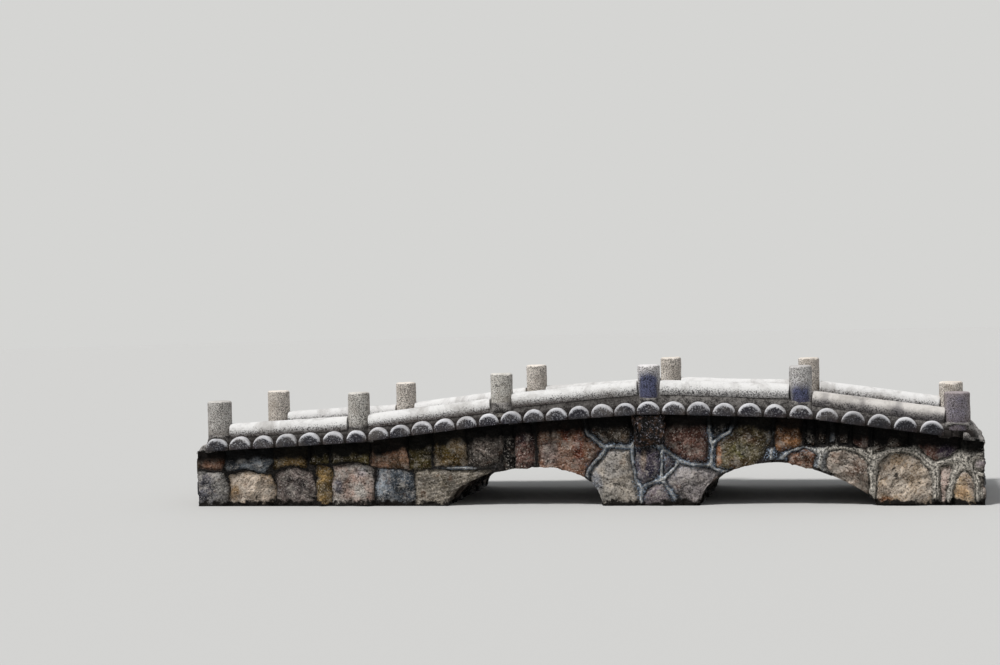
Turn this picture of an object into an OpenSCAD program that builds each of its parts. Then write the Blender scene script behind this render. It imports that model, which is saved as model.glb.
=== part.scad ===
// Low garden bridge of rubble masonry on two flat arches, with a deck of imitation half-round logs,
// a round log curb along each edge and round posts that the curbs run between.
// X runs along the bridge, Y across it and Z up. The waterline that the masonry stands on is z = 0.

/* [Layout] */
// Distance between neighbouring posts along the bridge
bay = 1200; // [1050:10:1500]
// Distance between the centre lines of the front and back rows of posts
row_gap = 1640; // [1200:10:2200]
// How far the masonry runs on past the end posts
end_run = 210; // [180:5:400]

/* [Deck line] */
// Height of the seat under the logs at the left end post
seat_1 = 470; // [430:5:500]
// Height of the log seat at the second post
seat_2 = 530; // [500:5:580]
// Height of the log seat at the third post
seat_3 = 670; // [620:5:700]
// Height of the log seat at the crest, over the centre pier
seat_4 = 740; // [710:5:800]
// Height of the log seat at the fifth post
seat_5 = 698; // [640:2:720]
// Height of the log seat at the right end post
seat_6 = 533; // [480:1:580]

/* [Masonry] */
// Thickness of the front and back face walls
wall_t = 250; // [200:10:350]
// How far the wall faces stand outside the post line
wall_out = 20; // [0:5:60]
// Thickness of the two end walls
end_wall_t = 200; // [150:10:300]

/* [Arches] */
// Width of the centre pier at the waterline
pier_w = 790; // [600:10:900]
// Width of the foot that each arch stands on
arch_foot = 150; // [80:10:200]
// Distance from the pier to the crown of the left arch
left_pier_half = 475; // [350:5:600]
// Distance from the crown of the left arch to its bank side
left_bank_half = 795; // [600:5:900]
// Rise of the left arch above the water
left_rise = 305; // [200:5:350]
// Fullness of the left arch's bank side, where 2 is an ellipse and less is flatter
left_fullness = 2; // [1.3:0.1:2.4]
// Distance from the pier to the crown of the right arch
right_pier_half = 625; // [400:5:700]
// Distance from the crown of the right arch to its bank side
right_bank_half = 745; // [550:5:850]
// Rise of the right arch above the water
right_rise = 335; // [200:5:380]
// Fullness of the right arch's bank side, where 2 is an ellipse and less is flatter
right_fullness = 1.4; // [1.3:0.1:2.4]

/* [Deck] */
// Thickness of the deck slab between the face walls
slab_t = 90; // [60:5:140]
// Width of each imitation log
log_d = 176; // [140:2:180]
// Height of a log above its flat underside
log_h = 100; // [80:2:120]
// Narrowest gap that is left between two logs
log_gap = 8; // [6:1:40]
// How far the log ends reach past the post line
log_reach = 130; // [100:5:180]
// Radius worn on the end of each log
log_round = 42; // [15:1:60]
// Depth of the mortar that is packed between the logs
mortar_h = 68; // [40:2:76]
// How far the mortar stays back from the log ends
mortar_back = 28; // [10:2:50]

/* [Curbs] */
// Diameter of the log curbs
curb_d = 140; // [110:2:160]
// How deep the flat underside cuts into the curb's round
curb_flat = 23; // [10:1:35]
// Width of the mortar bed under each curb
curb_bed_w = 96; // [60:2:110]
// How much higher the two front curbs by the crest are laid where they meet its post
crest_lift = 56; // [30:2:70]
// How much higher the front curb left of the crest is laid at its lower end
left_lift = 22; // [0:2:50]
// How much higher the front curb right of the crest is laid at its lower end
right_lift = 44; // [0:2:50]

/* [Posts] */
// Diameter of the posts between the ends
post_d = 182; // [164:2:196]
// Diameter of the four end posts
end_post_d = 202; // [180:2:210]
// Height of a post above the log seat
post_rise = 410; // [330:5:500]
// Height of the crest posts above the log seat
crest_post_rise = 391; // [330:1:500]
// Height of the right end posts above the log seat
foot_post_rise = 352; // [300:1:450]
// Radius on the top edge of the posts
post_round = 16; // [6:1:40]

/* [Corbels and sills] */
// Width of the rough stone corbel under each crest post
corbel_w = 262; // [180:2:320]
// Height of the corbel
corbel_h = 265; // [140:5:300]
// How far the corbel stands out from the wall face
corbel_reach = 96; // [60:2:110]
// How far the end sills reach past the post line
sill_reach = 104; // [60:2:130]
// How much the end sills fall towards their outer edge
sill_fall = 56; // [0:2:60]

/* [Hidden] */
$fn = 64;

POSTS = 6;
CREST_INDEX = 3;
// Index of the post that stands between two logs, where the others straddle one
GAP_INDEX = 2;
// Steps in each quarter of an arch
ARCH_STEPS = 14;
// Gap where round pieces meet
CLEAR = 0.3;
// Share of the corbel's height where its undercut starts, and of its reach that the foot keeps
CORBEL_CUT_SHARE = 0.34;
CORBEL_FOOT_SHARE = 0.45;

last = POSTS - 1;
seats = [seat_1, seat_2, seat_3, seat_4, seat_5, seat_6];
half_len = last / 2 * bay + end_run;
half_gap = row_gap / 2;
face_y = half_gap + wall_out;
core_y = face_y - wall_t;
core_x = half_len - end_wall_t;
log_r = log_d / 2;
log_end = half_gap + log_reach;
mortar_end = log_end - mortar_back;
// Taller than anything on the bridge, for cuts that go right through
through = max(seats) + post_rise + crest_post_rise;

sides = ["front", "back"];
ends = ["left", "right"];

stone = "#8a7b70";
core_stone = "#6f675f";
concrete = "#b9b5ad";
mortar = "#a8a39a";
dark_stone = "#4c4744";

// -1 for the front or the left of a pair, 1 for the back or the right
function sign_of(k) = k == 0 ? -1 : 1;
function post_x(i) = (i - last / 2) * bay;
function grade(i) = (seats[i + 1] - seats[i]) / bay;
function bay_of(x) = max(0, min(last - 1, floor((x - post_x(0)) / bay)));
function straight_seat(x) = let (i = bay_of(x)) seats[i] + grade(i) * (x - post_x(i));
function post_r(i) = (i == 0 || i == last ? end_post_d : post_d) / 2;
function rise_of(i) = i == CREST_INDEX ? crest_post_rise : i == last ? foot_post_rise : post_rise;

// Logs are spaced evenly from post to post. By the post that stands between two, they start half a
// step from it.
function step_off(i) = i == GAP_INDEX ? 0.5 : 0;
function offs(i) = step_off(i) + step_off(i + 1);
function log_steps(i) = floor(bay / (log_d + log_gap) - offs(i));
function pitch(i) = let (k = max(0, min(last - 1, i))) bay / (log_steps(k) + offs(k));
function log_xs(i) = [for (j = [0 : log_steps(i)]) post_x(i) + (step_off(i) + j) * pitch(i)];
function near_logs(i) = [for (x = concat(log_xs(max(0, i - 1)), log_xs(min(last - 1, i))))
    if (abs(x - post_x(i)) < post_r(i) + log_r) x];

// The seat runs straight along each bay, with a short flat under a log that a post straddles.
function seat_breaks(i) = step_off(i) > 0
    ? [post_x(i)]
    : [post_x(i) - pitch(i - 1) / 2, post_x(i) + pitch(i) / 2];
seat_line = concat(
    [[-half_len, straight_seat(-half_len)]],
    [for (i = [0 : last], x = seat_breaks(i)) [x, straight_seat(x)]],
    [[half_len, straight_seat(half_len)]]
);
function seat(x) = lookup(x, seat_line);
function tilt(x) = atan2(seat(x + 1) - seat(x - 1), 2);
function seat_run(x0, x1, dz) = concat(
    [[x0, seat(x0) + dz]],
    [for (p = seat_line) if (p[0] > x0 && p[0] < x1) [p[0], p[1] + dz]],
    [[x1, seat(x1) + dz]]
);
function reversed(list) = [for (i = [len(list) - 1 : -1 : 0]) list[i]];

// A band that follows the seat line, from one height under or over it to another
function band(x0, x1, low, high) = concat(seat_run(x0, x1, low), reversed(seat_run(x0, x1, high)));

// Each arch is a quarter ellipse by the pier and a longer quarter by the bank, which may be flatter.
function pier_half(way) = way > 0 ? right_pier_half : left_pier_half;
function bank_half(way) = way > 0 ? right_bank_half : left_bank_half;
function rise(way) = way > 0 ? right_rise : left_rise;
function fullness(way) = way > 0 ? right_fullness : left_fullness;
function pier_x(way) = post_x(CREST_INDEX) + way * pier_w / 2;
function crown_x(way) = pier_x(way) + way * pier_half(way);
function bank_x(way) = crown_x(way) + way * bank_half(way);
function quarter(half, height, power) = [for (k = [0 : ARCH_STEPS]) let (a = 90 * k / ARCH_STEPS)
    [half * pow(cos(a), 2 / power), height * pow(sin(a), 2 / power)]];
function shifted(list, x0, way) = [for (p = list) [x0 + way * p[0], p[1]]];
function bank_side(way) =
    shifted(quarter(bank_half(way), rise(way), fullness(way)), crown_x(way), way);
function pier_side(way) = shifted(quarter(pier_half(way), rise(way), 2), crown_x(way), -way);
function without_last(list) = [for (i = [0 : len(list) - 2]) list[i]];

// The arch's line from left to right, with its crown point once
function arch_line(way) = way > 0
    ? concat(pier_side(way), reversed(without_last(bank_side(way))))
    : concat(bank_side(way), reversed(without_last(pier_side(way))));

// Stands a profile drawn in X and Z up, from y0 to y1
module across(y0, y1) {
    translate([0, y1, 0]) rotate([90, 0, 0]) linear_extrude(y1 - y0) children();
}

// The room that the log at x takes, with its running gap
module log_space(x) {
    translate([x, 0, seat(x)]) rotate([0, -tilt(x), 0]) translate([0, 0, log_h - log_r])
        rotate([90, 0, 0]) cylinder(r = log_r + CLEAR, h = 3 * log_end, center = true);
}

// The room that a post takes between the ends of two curbs
module post_room(i, side) {
    translate([post_x(i), side * half_gap, 0])
        cube([2 * (post_r(i) + CLEAR), 2 * curb_d, 2 * through], center = true);
}

// Half of a round bar's section, from its axis out, with the ends rounded
module rounded_bar(r, length, round) {
    translate([0, round]) square([r, length - 2 * round]);
    square([r - round, length]);
    for (y = [round, length - round]) translate([r - round, y]) circle(round);
}

module face_wall(side) {
    color(stone) across(side > 0 ? core_y : -face_y, side > 0 ? face_y : -core_y)
        polygon(concat([[-half_len, 0]], arch_line(-1), arch_line(1), [[half_len, 0]],
            reversed(seat_run(-half_len, half_len, 0))));
}

module end_wall(way) {
    x0 = way > 0 ? core_x : -half_len;
    x1 = way > 0 ? half_len : -core_x;
    color(stone) across(-core_y, core_y)
        polygon(concat([[x0, 0], [x1, 0]], reversed(seat_run(x0, x1, 0))));
}

// Masonry under the slab, from x0 to x1
module core_block(x0, x1) {
    color(core_stone) across(-core_y, core_y)
        polygon(concat([[x0, 0], [x1, 0]], reversed(seat_run(x0, x1, -slab_t))));
}

module abutment(way) {
    inner = bank_x(way) + way * arch_foot;
    core_block(min(way * core_x, inner), max(way * core_x, inner));
}

module centre_pier() {
    core_block(pier_x(-1) + arch_foot, pier_x(1) - arch_foot);
}

module arch_block(way) {
    x0 = min(bank_x(way) + way * arch_foot, pier_x(way) - way * arch_foot);
    x1 = max(bank_x(way) + way * arch_foot, pier_x(way) - way * arch_foot);
    color(core_stone) across(-core_y, core_y)
        polygon(concat([[x0, 0]], arch_line(way), [[x1, 0]], reversed(seat_run(x0, x1, -slab_t))));
}

// How far from a post the curb's bed stops: at the post, or at the crown of the nearest log where the
// post stands between two
function bed_stop(k, way) = max(post_r(k) + CLEAR, step_off(k) * pitch(way > 0 ? k : k - 1));

// The raised mortar that a curb lies on. Its cuts end inside the mortar between the logs.
module curb_bed(i, side) {
    difference() {
        across(side * half_gap - curb_bed_w / 2, side * half_gap + curb_bed_w / 2)
            polygon(band(post_x(i), post_x(i + 1), 0, log_h - CLEAR));
        for (k = [i, i + 1]) across(-log_end, log_end)
            polygon(band(post_x(k) - bed_stop(k, -1), post_x(k) + bed_stop(k, 1), mortar_h / 2, 2 * log_h));
    }
}

// Slab between the walls that the logs lie on, mortar rooted in it that is packed between them,
// and the curb beds
module deck_bed(i) {
    x0 = i == 0 ? -core_x : post_x(i);
    x1 = i == last - 1 ? core_x : post_x(i + 1);
    color(mortar) {
        across(-core_y, core_y) polygon(band(x0, x1, -slab_t, 0));
        difference() {
            union() {
                across(-mortar_end, mortar_end) polygon(band(post_x(i), post_x(i + 1), 0, mortar_h));
                across(-core_y, core_y)
                    polygon(band(post_x(i), post_x(i + 1), -slab_t / 2, mortar_h));
                for (side = [-1, 1]) curb_bed(i, side);
            }
            for (x = log_xs(i)) log_space(x);
        }
    }
}

// A half-round log across the bridge at x, with worn ends and a flat underside
module deck_log(x) {
    translate([x, 0, seat(x)]) rotate([0, -tilt(x), 0]) difference() {
        translate([0, log_end, log_h - log_r]) rotate([90, 0, 0])
            rotate_extrude() rounded_bar(log_r, 2 * log_end, log_round);
        translate([0, 0, -log_r]) cube([2 * log_d, 3 * log_end, 2 * log_r], center = true);
    }
}

// The logs of a bay. One that a post straddles belongs to the bay on its right, or at the end to the last.
module deck_logs(i) {
    color(concrete) for (x = log_xs(i)) if (x < post_x(i + 1) - log_r / 2 || i == last - 1) deck_log(x);
}

// How much higher the curb of bay i is laid at post k than the usual one
function curb_lift(i, k, side) = side > 0 || (i != CREST_INDEX - 1 && i != CREST_INDEX) ? 0
    : k == CREST_INDEX ? crest_lift : k < CREST_INDEX ? left_lift : right_lift;

// A log curb from post to post with square ends. One that is laid higher has a foot as wide as its bed.
module curb(i, side) {
    lifts = [for (k = [i, i + 1]) curb_lift(i, k, side)];
    foot_slope = atan(grade(i));
    slope = atan(grade(i) + (lifts[1] - lifts[0]) / bay);
    middle = [(post_x(i) + post_x(i + 1)) / 2, side * half_gap, (seats[i] + seats[i + 1]) / 2];
    flat_z = log_h + CLEAR;
    axis_z = flat_z + curb_d / 2 - curb_flat;
    color(concrete) difference() {
        union() {
            translate(middle + [0, 0, (lifts[0] + lifts[1]) / 2]) rotate([0, -slope, 0])
                translate([0, 0, axis_z]) rotate([0, 90, 0])
                    cylinder(d = curb_d, h = bay / cos(slope), center = true);
            if (max(lifts) > 0)
                across(side * half_gap - curb_bed_w / 2, side * half_gap + curb_bed_w / 2)
                    polygon([[post_x(i), seats[i] + log_h / 2],
                        [post_x(i + 1), seats[i + 1] + log_h / 2],
                        [post_x(i + 1), seats[i + 1] + axis_z + lifts[1]],
                        [post_x(i), seats[i] + axis_z + lifts[0]]]);
        }
        translate(middle) rotate([0, -foot_slope, 0]) translate([0, 0, flat_z - curb_d / 2])
            cube([2 * bay, 2 * curb_d, curb_d], center = true);
        for (k = [i, i + 1]) post_room(k, side);
    }
}

// A post that stands on the mortar and is cut to fit over the log or logs under it
module post(i, side) {
    x = post_x(i);
    color(concrete) difference() {
        translate([x, side * half_gap, seats[i]])
            rotate_extrude() difference() {
                rounded_bar(post_r(i), rise_of(i), post_round);
                square([2 * post_r(i), mortar_h / 2]);
            }
        across(-face_y - 2 * end_post_d, face_y + 2 * end_post_d)
            polygon(band(x - end_post_d, x + end_post_d, -log_h, mortar_h));
        for (lx = near_logs(i)) log_space(lx);
    }
}

// A rough block under the crest post, undercut towards the wall
module corbel(side) {
    x = post_x(CREST_INDEX);
    z = max(seats);
    foot = seats[CREST_INDEX] - corbel_h;
    color(dark_stone) intersection() {
        translate([x - corbel_w / 2, 0, 0]) rotate([90, 0, 90]) linear_extrude(corbel_w)
            polygon([[side * face_y, foot], [side * (face_y + corbel_reach * CORBEL_FOOT_SHARE), foot],
                [side * (face_y + corbel_reach), foot + corbel_h * CORBEL_CUT_SHARE],
                [side * (face_y + corbel_reach), z], [side * face_y, z]]);
        across(-2 * face_y, 2 * face_y)
            polygon(band(x - corbel_w, x + corbel_w, -2 * corbel_h, 0));
    }
}

// A mortared sill that closes the deck at its end and carries the outer side of the end posts
module sill(way) {
    inner = way * post_x(last);
    edge = inner + way * pitch(way > 0 ? last : 0) / 2;
    outer = way * half_len;
    color(mortar) difference() {
        across(-half_gap - sill_reach, half_gap + sill_reach)
            polygon([[inner, seat(inner)], [edge, seat(edge)], [outer, seat(outer)],
                [outer, seat(outer) + mortar_h - sill_fall], [edge, seat(edge) + mortar_h],
                [inner, seat(inner) + mortar_h]]);
        log_space(inner);
    }
}

for (k = [0, 1]) {
    face_wall(sign_of(k));
    end_wall(sign_of(k));
    abutment(sign_of(k));
    arch_block(sign_of(k));
    corbel(sign_of(k));
    sill(sign_of(k));
}
centre_pier();
for (i = [0 : last - 1]) {
    deck_bed(i);
    deck_logs(i);
    for (k = [0, 1])
        curb(i, sign_of(k));
}
for (i = [0 : last], k = [0, 1])
    post(i, sign_of(k));
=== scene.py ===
"""Dresses a low garden footbridge: rubble stone walls on two flat arches, a deck of half-round cast logs,
log curbs and round posts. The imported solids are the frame, and every piece is made round them in metres.
"""

import functools
import math

import bmesh
import bpy
import numpy as np
from mathutils import Matrix, Vector


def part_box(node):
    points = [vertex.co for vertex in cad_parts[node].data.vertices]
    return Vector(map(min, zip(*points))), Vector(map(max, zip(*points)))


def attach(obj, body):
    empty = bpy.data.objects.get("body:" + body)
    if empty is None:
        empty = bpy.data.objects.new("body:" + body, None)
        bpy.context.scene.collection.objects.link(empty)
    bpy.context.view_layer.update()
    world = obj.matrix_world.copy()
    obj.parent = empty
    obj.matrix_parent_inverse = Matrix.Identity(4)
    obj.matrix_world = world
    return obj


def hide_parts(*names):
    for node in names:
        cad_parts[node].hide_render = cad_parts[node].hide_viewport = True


bl_info = {
    "name": "Stone garden footbridge",
    "version": (1, 0, 0),
    "blender": (4, 5, 0),
    "location": "View3D > Sidebar > Footbridge",
    "description": "Dresses the packed footbridge with rubble walls, cast logs, curbs and posts",
    "category": "Add Mesh",
}

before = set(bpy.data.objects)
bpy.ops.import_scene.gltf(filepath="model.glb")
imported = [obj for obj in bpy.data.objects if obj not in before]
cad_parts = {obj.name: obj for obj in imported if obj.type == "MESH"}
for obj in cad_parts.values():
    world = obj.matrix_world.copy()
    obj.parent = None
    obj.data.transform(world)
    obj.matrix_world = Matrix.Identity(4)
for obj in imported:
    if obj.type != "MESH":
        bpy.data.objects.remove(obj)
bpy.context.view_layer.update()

WALL_LOW, WALL_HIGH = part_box("front_wall")
FACE = -WALL_LOW.y
INNER = -WALL_HIGH.y
HALF_X = WALL_HIGH.x
LOG_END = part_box("deck_logs_3")[1].y
MORTAR_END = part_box("deck_bed_3")[1].y
BAYS = 5
SIDES = {-1: "front", 1: "back"}
ENDS = {-1: "left", 1: "right"}

# A point lower than this is on the ground, and a hair's breadth tells surfaces apart
ON_GROUND = 0.0005
HAIR = 0.001

# What the parts of the deck measure over the seat that they all lie on
LOG_RADIUS = 0.088
LOG_HEIGHT = 0.100
LOG_WORN_END = 0.042
SLAB_DEPTH = 0.090
MORTAR_HEIGHT = 0.068
CURB_RADIUS = 0.070
CURB_AXIS = 0.1473
CURB_FLAT = 0.047

# Kinds of facing stone: the main tone, the tone it turns to in patches, and how strongly it is bedded
STONE_KINDS = {
    "granite": ("#7d7a76", "#55545a", 0.2),
    "tan": ("#b8a999", "#957b5c", 0.3),
    "plum": ("#57504e", "#7d716b", 0.3),
    "ochre": ("#6b5a3c", "#93784c", 0.4),
    "rust": ("#5c3822", "#957462", 0.3),
    "slate": ("#454b52", "#7c8288", 0.5),
    "olive": ("#3c3316", "#5e5432", 0.3),
    "pink": ("#9c968f", "#957f74", 0.3),
    "peach": ("#66503d", "#a8826a", 0.2),
    "striated": ("#5c554a", "#938a7d", 1.0),
    "tan_ochre": ("#54421f", "#84735c", 0.4),
    "grey_tan": ("#403a35", "#7b7068", 0.6),
    # Near black stones painted as the shadow in deep gaps between the others, which also lie back
    "shadowed_gap": ("#0c0a09", "#1b1816", 0.2),
    "dusk_pink": ("#33272a", "#75584f", 0.4),
    "dark_olive": ("#241d18", "#4f4337", 0.3),
    "beige": ("#a99f92", "#8c8782", 0.3),
    "indigo": ("#2c2936", "#5a525c", 0.3),
    "maroon": ("#3f241c", "#6b5148", 0.3),
    "dark_purple": ("#423a3c", "#6f6669", 0.3),
    "grey_purple": ("#7a7372", "#aba4a3", 0.4),
    "olive_tan": ("#453520", "#746a4f", 0.4),
    "orange": ("#5f4029", "#a0744f", 0.3),
    "umber": ("#231a13", "#4a392e", 0.3),
    "grey_brown": ("#69564a", "#a69a8e", 0.4),
    "sandstone": ("#b59f94", "#cbb6aa", 0.3),
    "speckled": ("#b9a596", "#d3b690", 0.2),
}

# The facing stones of the front wall, by kind and outline, with near black ones as painted shadow in deep
# gaps. X and Z are in centimetres.
FRONT_STONES = (
    ("granite", (-322, -4), (-297, -4), (-294, 14), (-298, 27), (-322, 29)),
    ("tan", (-293, -4), (-258, -4), (-253, 12), (-257, 25), (-278, 28), (-292, 26)),
    ("plum", (-253, -4), (-222, -4), (-218, 14), (-222, 27), (-240, 31), (-252, 26)),
    ("ochre", (-215, -4), (-207, -4), (-205, 18), (-206, 31), (-216, 33), (-217, 16)),
    ("rust", (-322, 33), (-300, 31), (-296, 40), (-299, 62), (-322, 62)),
    ("slate", (-295, 31), (-278, 32), (-262, 29), (-255, 38), (-258, 62), (-294, 62)),
    ("ochre", (-253, 31), (-240, 35), (-226, 32), (-224, 62), (-254, 62)),
    ("olive", (-221, 35), (-208, 36), (-206, 62), (-221, 62)),
    ("pink", (-204, -4), (-171, -4), (-169, 14), (-170, 31), (-182, 34), (-203, 33)),
    ("olive", (-203, 37), (-182, 37), (-173, 35), (-172, 62), (-203, 62)),
    ("slate", (-166, -4), (-138, -4), (-135, 10), (-136, 27), (-150, 29), (-164, 30), (-167, 15)),
    ("peach", (-170, 33), (-150, 31), (-139, 31), (-141, 42), (-142, 62), (-170, 62)),
    ("olive", (-137, 31), (-122, 31), (-121, 45), (-121, 62), (-139, 62)),
    ("striated", (-133, -4), (-100, -4), (-70, 28), (-80, 28.5), (-110, 28), (-133, 28.5)),
    ("tan_ochre", (-117, 33), (-91, 33.5), (-90, 45), (-91, 64), (-118, 62)),
    ("grey_tan", (-88.5, 34), (-72, 32.5), (-64, 36), (-61, 45), (-62, 68), (-89, 66)),
    ("shadowed_gap", (-58.5, 26), (-52, 26), (-52, 70), (-60, 68)),
    ("dusk_pink", (-50, 26), (-38, 26), (-35, 40), (-35, 57), (-38, 70), (-50, 70)),
    ("rust", (-30, 24), (5, 22), (9, 31), (16, 39), (21, 46), (17, 51), (6, 57), (3, 74), (-30, 72)),
    ("dark_olive", (12, 60), (24, 51), (43, 50), (45, 74), (8, 74)),
    ("beige", (14, -4), (52, -4), (49.5, 10), (46.5, 22), (44, 34), (43, 44), (28, 44.5), (18, 36),
        (9.5, 26.5)),
    ("indigo", (48, 45), (68, 45), (68.5, 36), (68, 24), (60, 20), (54, 18), (50, 22), (47, 33)),
    ("indigo", (70.5, 42), (79, 36), (79.5, 32), (71, 24)),
    ("maroon", (71, 47), (83, 38.5), (92, 35), (105.5, 34.5), (105.5, 50), (106, 75), (71, 75)),
    ("dark_purple", (55, -4), (79, -4), (71, 16), (64, 17.5), (58, 14), (54, 6)),
    ("grey_purple", (74, 18), (84, 4), (86, -4), (97, -4), (104, 6), (112, 15), (115.5, 26), (108, 30),
        (84, 33), (82, 31), (73, 21)),
    ("shadowed_gap", (101, -4), (123, -4), (126, 14), (134, 25), (120, 25), (117, 17), (109, 6)),
    ("shadowed_gap", (110, 54), (116, 57), (122, 60), (125, 75), (109, 75)),
    ("olive_tan", (112.5, 31), (118, 29), (140, 28), (150, 41), (155, 48), (157, 61), (156, 74),
        (134, 74), (124, 57), (114, 50)),
    ("orange", (160, 43), (165, 42), (175, 45), (180, 48), (180.5, 60), (181, 73), (160, 73), (159, 55)),
    ("rust", (168, 30), (188, 26), (190, 41), (183, 45), (170, 41)),
    ("shadowed_gap", (183, 48), (190, 46), (190, 72), (183, 72)),
    ("umber", (192, 49), (199, 48), (200, 72), (192, 72)),
    ("slate", (202, 49), (207, 49), (207, 72), (202, 72)),
    ("umber", (209, 49), (216, 48), (217, 70), (209, 70)),
    ("grey_brown", (199, 27), (212, 14), (226, 2), (231, 4), (232, 33), (225, 41), (212, 44.5), (201, 42),
        (198, 35)),
    ("maroon", (219, 48), (226, 44), (232, 40), (233, 52), (233, 68), (219, 68)),
    ("umber", (235.5, 40), (244, 44), (255, 45), (263, 46), (264, 66), (235, 66)),
    ("tan", (238, -4), (283, -4), (282, 12), (278, 28), (270, 37), (260, 42), (247, 41), (240, 34),
        (237, 20)),
    ("maroon", (266, 49), (275, 38), (282, 33), (294, 38), (302, 45), (304, 60), (266, 62)),
    ("sandstone", (286, -4), (293, -4), (292, 12), (297, 27), (295, 33), (287, 30), (284.5, 14)),
    ("speckled", (296, -4), (314, -4), (313, 18), (308, 27), (300, 27), (295, 13)),
    ("dark_purple", (311, 28), (322, 25), (322, 37), (313, 36)),
    ("grey_tan", (317, -4), (322, -4), (322, 21), (315, 23)),
    ("grey_tan", (306, 42), (322, 41), (322, 60), (307, 60)),
)

# Patches on the front stones: tone, centre and half size in centimetres, and strength
FRONT_PATCHES = (
    ("#93806f", (54.5, 37), (2.4, 9), 0.75),
    ("#99a0ad", (16, 18), (5, 9), 0.6),
    ("#a9a49c", (24, 9), (9, 6), 0.5),
    ("#cdbfae", (262, 18), (17, 15), 0.45),
    ("#6b5130", (260, 22), (8, 4), 0.55),
    ("#a5602c", (243, 4), (7, 3), 0.6),
    ("#a5673c", (114.5, 40), (2.4, 9), 0.8),
    ("#4a4a1c", (131, 44), (7, 6), 0.6),
    ("#6d2f1e", (2, 47), (4.0, 13), 0.65),
    ("#8f8480", (-22, 43), (7, 10), 0.6),
    ("#7a2a1a", (-8, 60), (3, 8), 0.5),
    ("#8c6a50", (-20, 56), (9, 4), 0.4),
    ("#332d49", (292, 43), (8, 8), 0.8),
    ("#6d3328", (272, 44), (7, 7), 0.5),
    ("#8d5636", (-156, 45), (7, 3), 0.6),
    ("#3a4960", (-199, 17), (4, 6), 0.6),
    ("#8f96a0", (-178, 28), (6, 4), 0.4),
    ("#6a5a2a", (-108, 46), (8, 5), 0.5),
    ("#b0865c", (302, 10), (5, 6), 0.5),
)

# The kinds of stone that are laid by chance
END_KINDS = ["tan", "granite", "slate", "grey_brown", "pink", "maroon", "olive_tan"]
BACK_KINDS = END_KINDS + ["ochre", "beige", "grey_purple", "orange", "peach", "plum", "striated"]
ARCH_KINDS = ["grey_tan", "umber", "grey_brown", "dark_olive"]

# A table of noise, and the large primes that spread the cells of space over it
NOISE_TABLE = np.random.default_rng(20).uniform(-1.0, 1.0, 65536)
PRIMES = (73856093, 19349663, 83492791)

FINISHES = {}


def linear(hex_tone):
    """An sRGB hex tone as the linear RGBA that Blender works in"""
    channels = [int(hex_tone[k:k + 2], 16) / 255 for k in (1, 3, 5)]
    return [c / 12.92 if c <= 0.04045 else ((c + 0.055) / 1.055) ** 2.4 for c in channels] + [1.0]


def ease(t):
    """A smooth step from 0 to 1"""
    t = np.clip(t, 0.0, 1.0)
    return t * t * (3 - 2 * t)


def lumps(points, size, seed=0):
    """Smooth noise from -1 to 1, with lumps of about the given size in metres"""
    q = points / size + seed * 13.37
    cell = np.floor(q).astype(np.int64)
    f = q - cell
    f = f * f * (3 - 2 * f)
    total = np.zeros(len(points))
    for corner in range(8):
        step = np.array([corner & 1, corner >> 1 & 1, corner >> 2 & 1])
        weight = np.prod(np.where(step, f, 1 - f), axis=1)
        at = cell + step
        key = (at[:, 0] * PRIMES[0]) ^ (at[:, 1] * PRIMES[1]) ^ (at[:, 2] * PRIMES[2])
        total += weight * NOISE_TABLE[(key ^ (key >> 13)) & (len(NOISE_TABLE) - 1)]
    return total


def rough(points, size, seed=0, octaves=3):
    """Lumps with finer lumps on them"""
    return sum(lumps(points, size / 2 ** k, seed + 7 * k) / 2 ** k for k in range(octaves)) / 1.6


def wander(points, seed, sizes, moves):
    """How far the joints stray from their plan in its two directions"""
    return np.stack([sum(lumps(points, size, seed + 2 * way + k) * move
                         for k, (size, move) in enumerate(zip(sizes, moves))) for way in (0, 1)], axis=1)


# Reading and making meshes

def points_of(mesh):
    """The places of the vertices, a row for each"""
    flat = np.empty(len(mesh.vertices) * 3, np.float32)
    mesh.vertices.foreach_get("co", flat)
    return flat.reshape(-1, 3).astype(float)


def put_points(mesh, points):
    mesh.vertices.foreach_set("co", points.astype(np.float32).ravel())
    mesh.update()


def paint(mesh, name, values):
    """Keeps one number or one colour for each vertex under a name that the materials read"""
    values = np.asarray(values, np.float32)
    if values.ndim == 1:
        mesh.attributes.new(name, "FLOAT", "POINT").data.foreach_set("value", values)
    else:
        full = np.ones((len(values), 4), np.float32)
        full[:, :3] = values[:, :3]
        mesh.attributes.new(name, "FLOAT_COLOR", "POINT").data.foreach_set("color", full.ravel())


def outward(mesh, shown=None):
    """For each vertex, the move that carries every shown face beside it outwards by one metre"""
    count = len(mesh.polygons)
    normals = np.empty(count * 3, np.float32)
    mesh.polygons.foreach_get("normal", normals)
    normals = normals.reshape(-1, 3).astype(float)
    sizes = np.empty(count, np.int32)
    mesh.polygons.foreach_get("loop_total", sizes)
    corners = np.empty(len(mesh.loops), np.int32)
    mesh.loops.foreach_get("vertex_index", corners)
    per_corner = np.repeat(normals, sizes, axis=0)
    weight = np.ones(len(corners))
    if shown is not None:
        centres = np.empty(count * 3, np.float32)
        mesh.polygons.foreach_get("center", centres)
        weight = np.repeat(shown(centres.reshape(-1, 3), normals).astype(float), sizes)
    total = np.stack([np.bincount(corners, per_corner[:, k] * weight, len(mesh.vertices))
                      for k in range(3)], axis=1)
    length = np.linalg.norm(total, axis=1)
    unit = total / np.maximum(length, 1e-9)[:, None]
    facing = np.einsum("ij,ij->i", unit[corners], per_corner) * weight
    lean = np.bincount(corners, facing, len(mesh.vertices))
    lean /= np.maximum(np.bincount(corners, weight, len(mesh.vertices)), 1e-9)
    unit[length < 1e-6] = 0
    return unit / np.clip(lean, 0.55, 1.0)[:, None]


def not_foot(centres, normals):
    """Tells the faces that show from the flat foot of a log, a curb, a post or a block of mortar"""
    return normals[:, 2] > -0.9


def open_edges(bm):
    return [edge for edge in bm.edges if edge.is_boundary]


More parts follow.
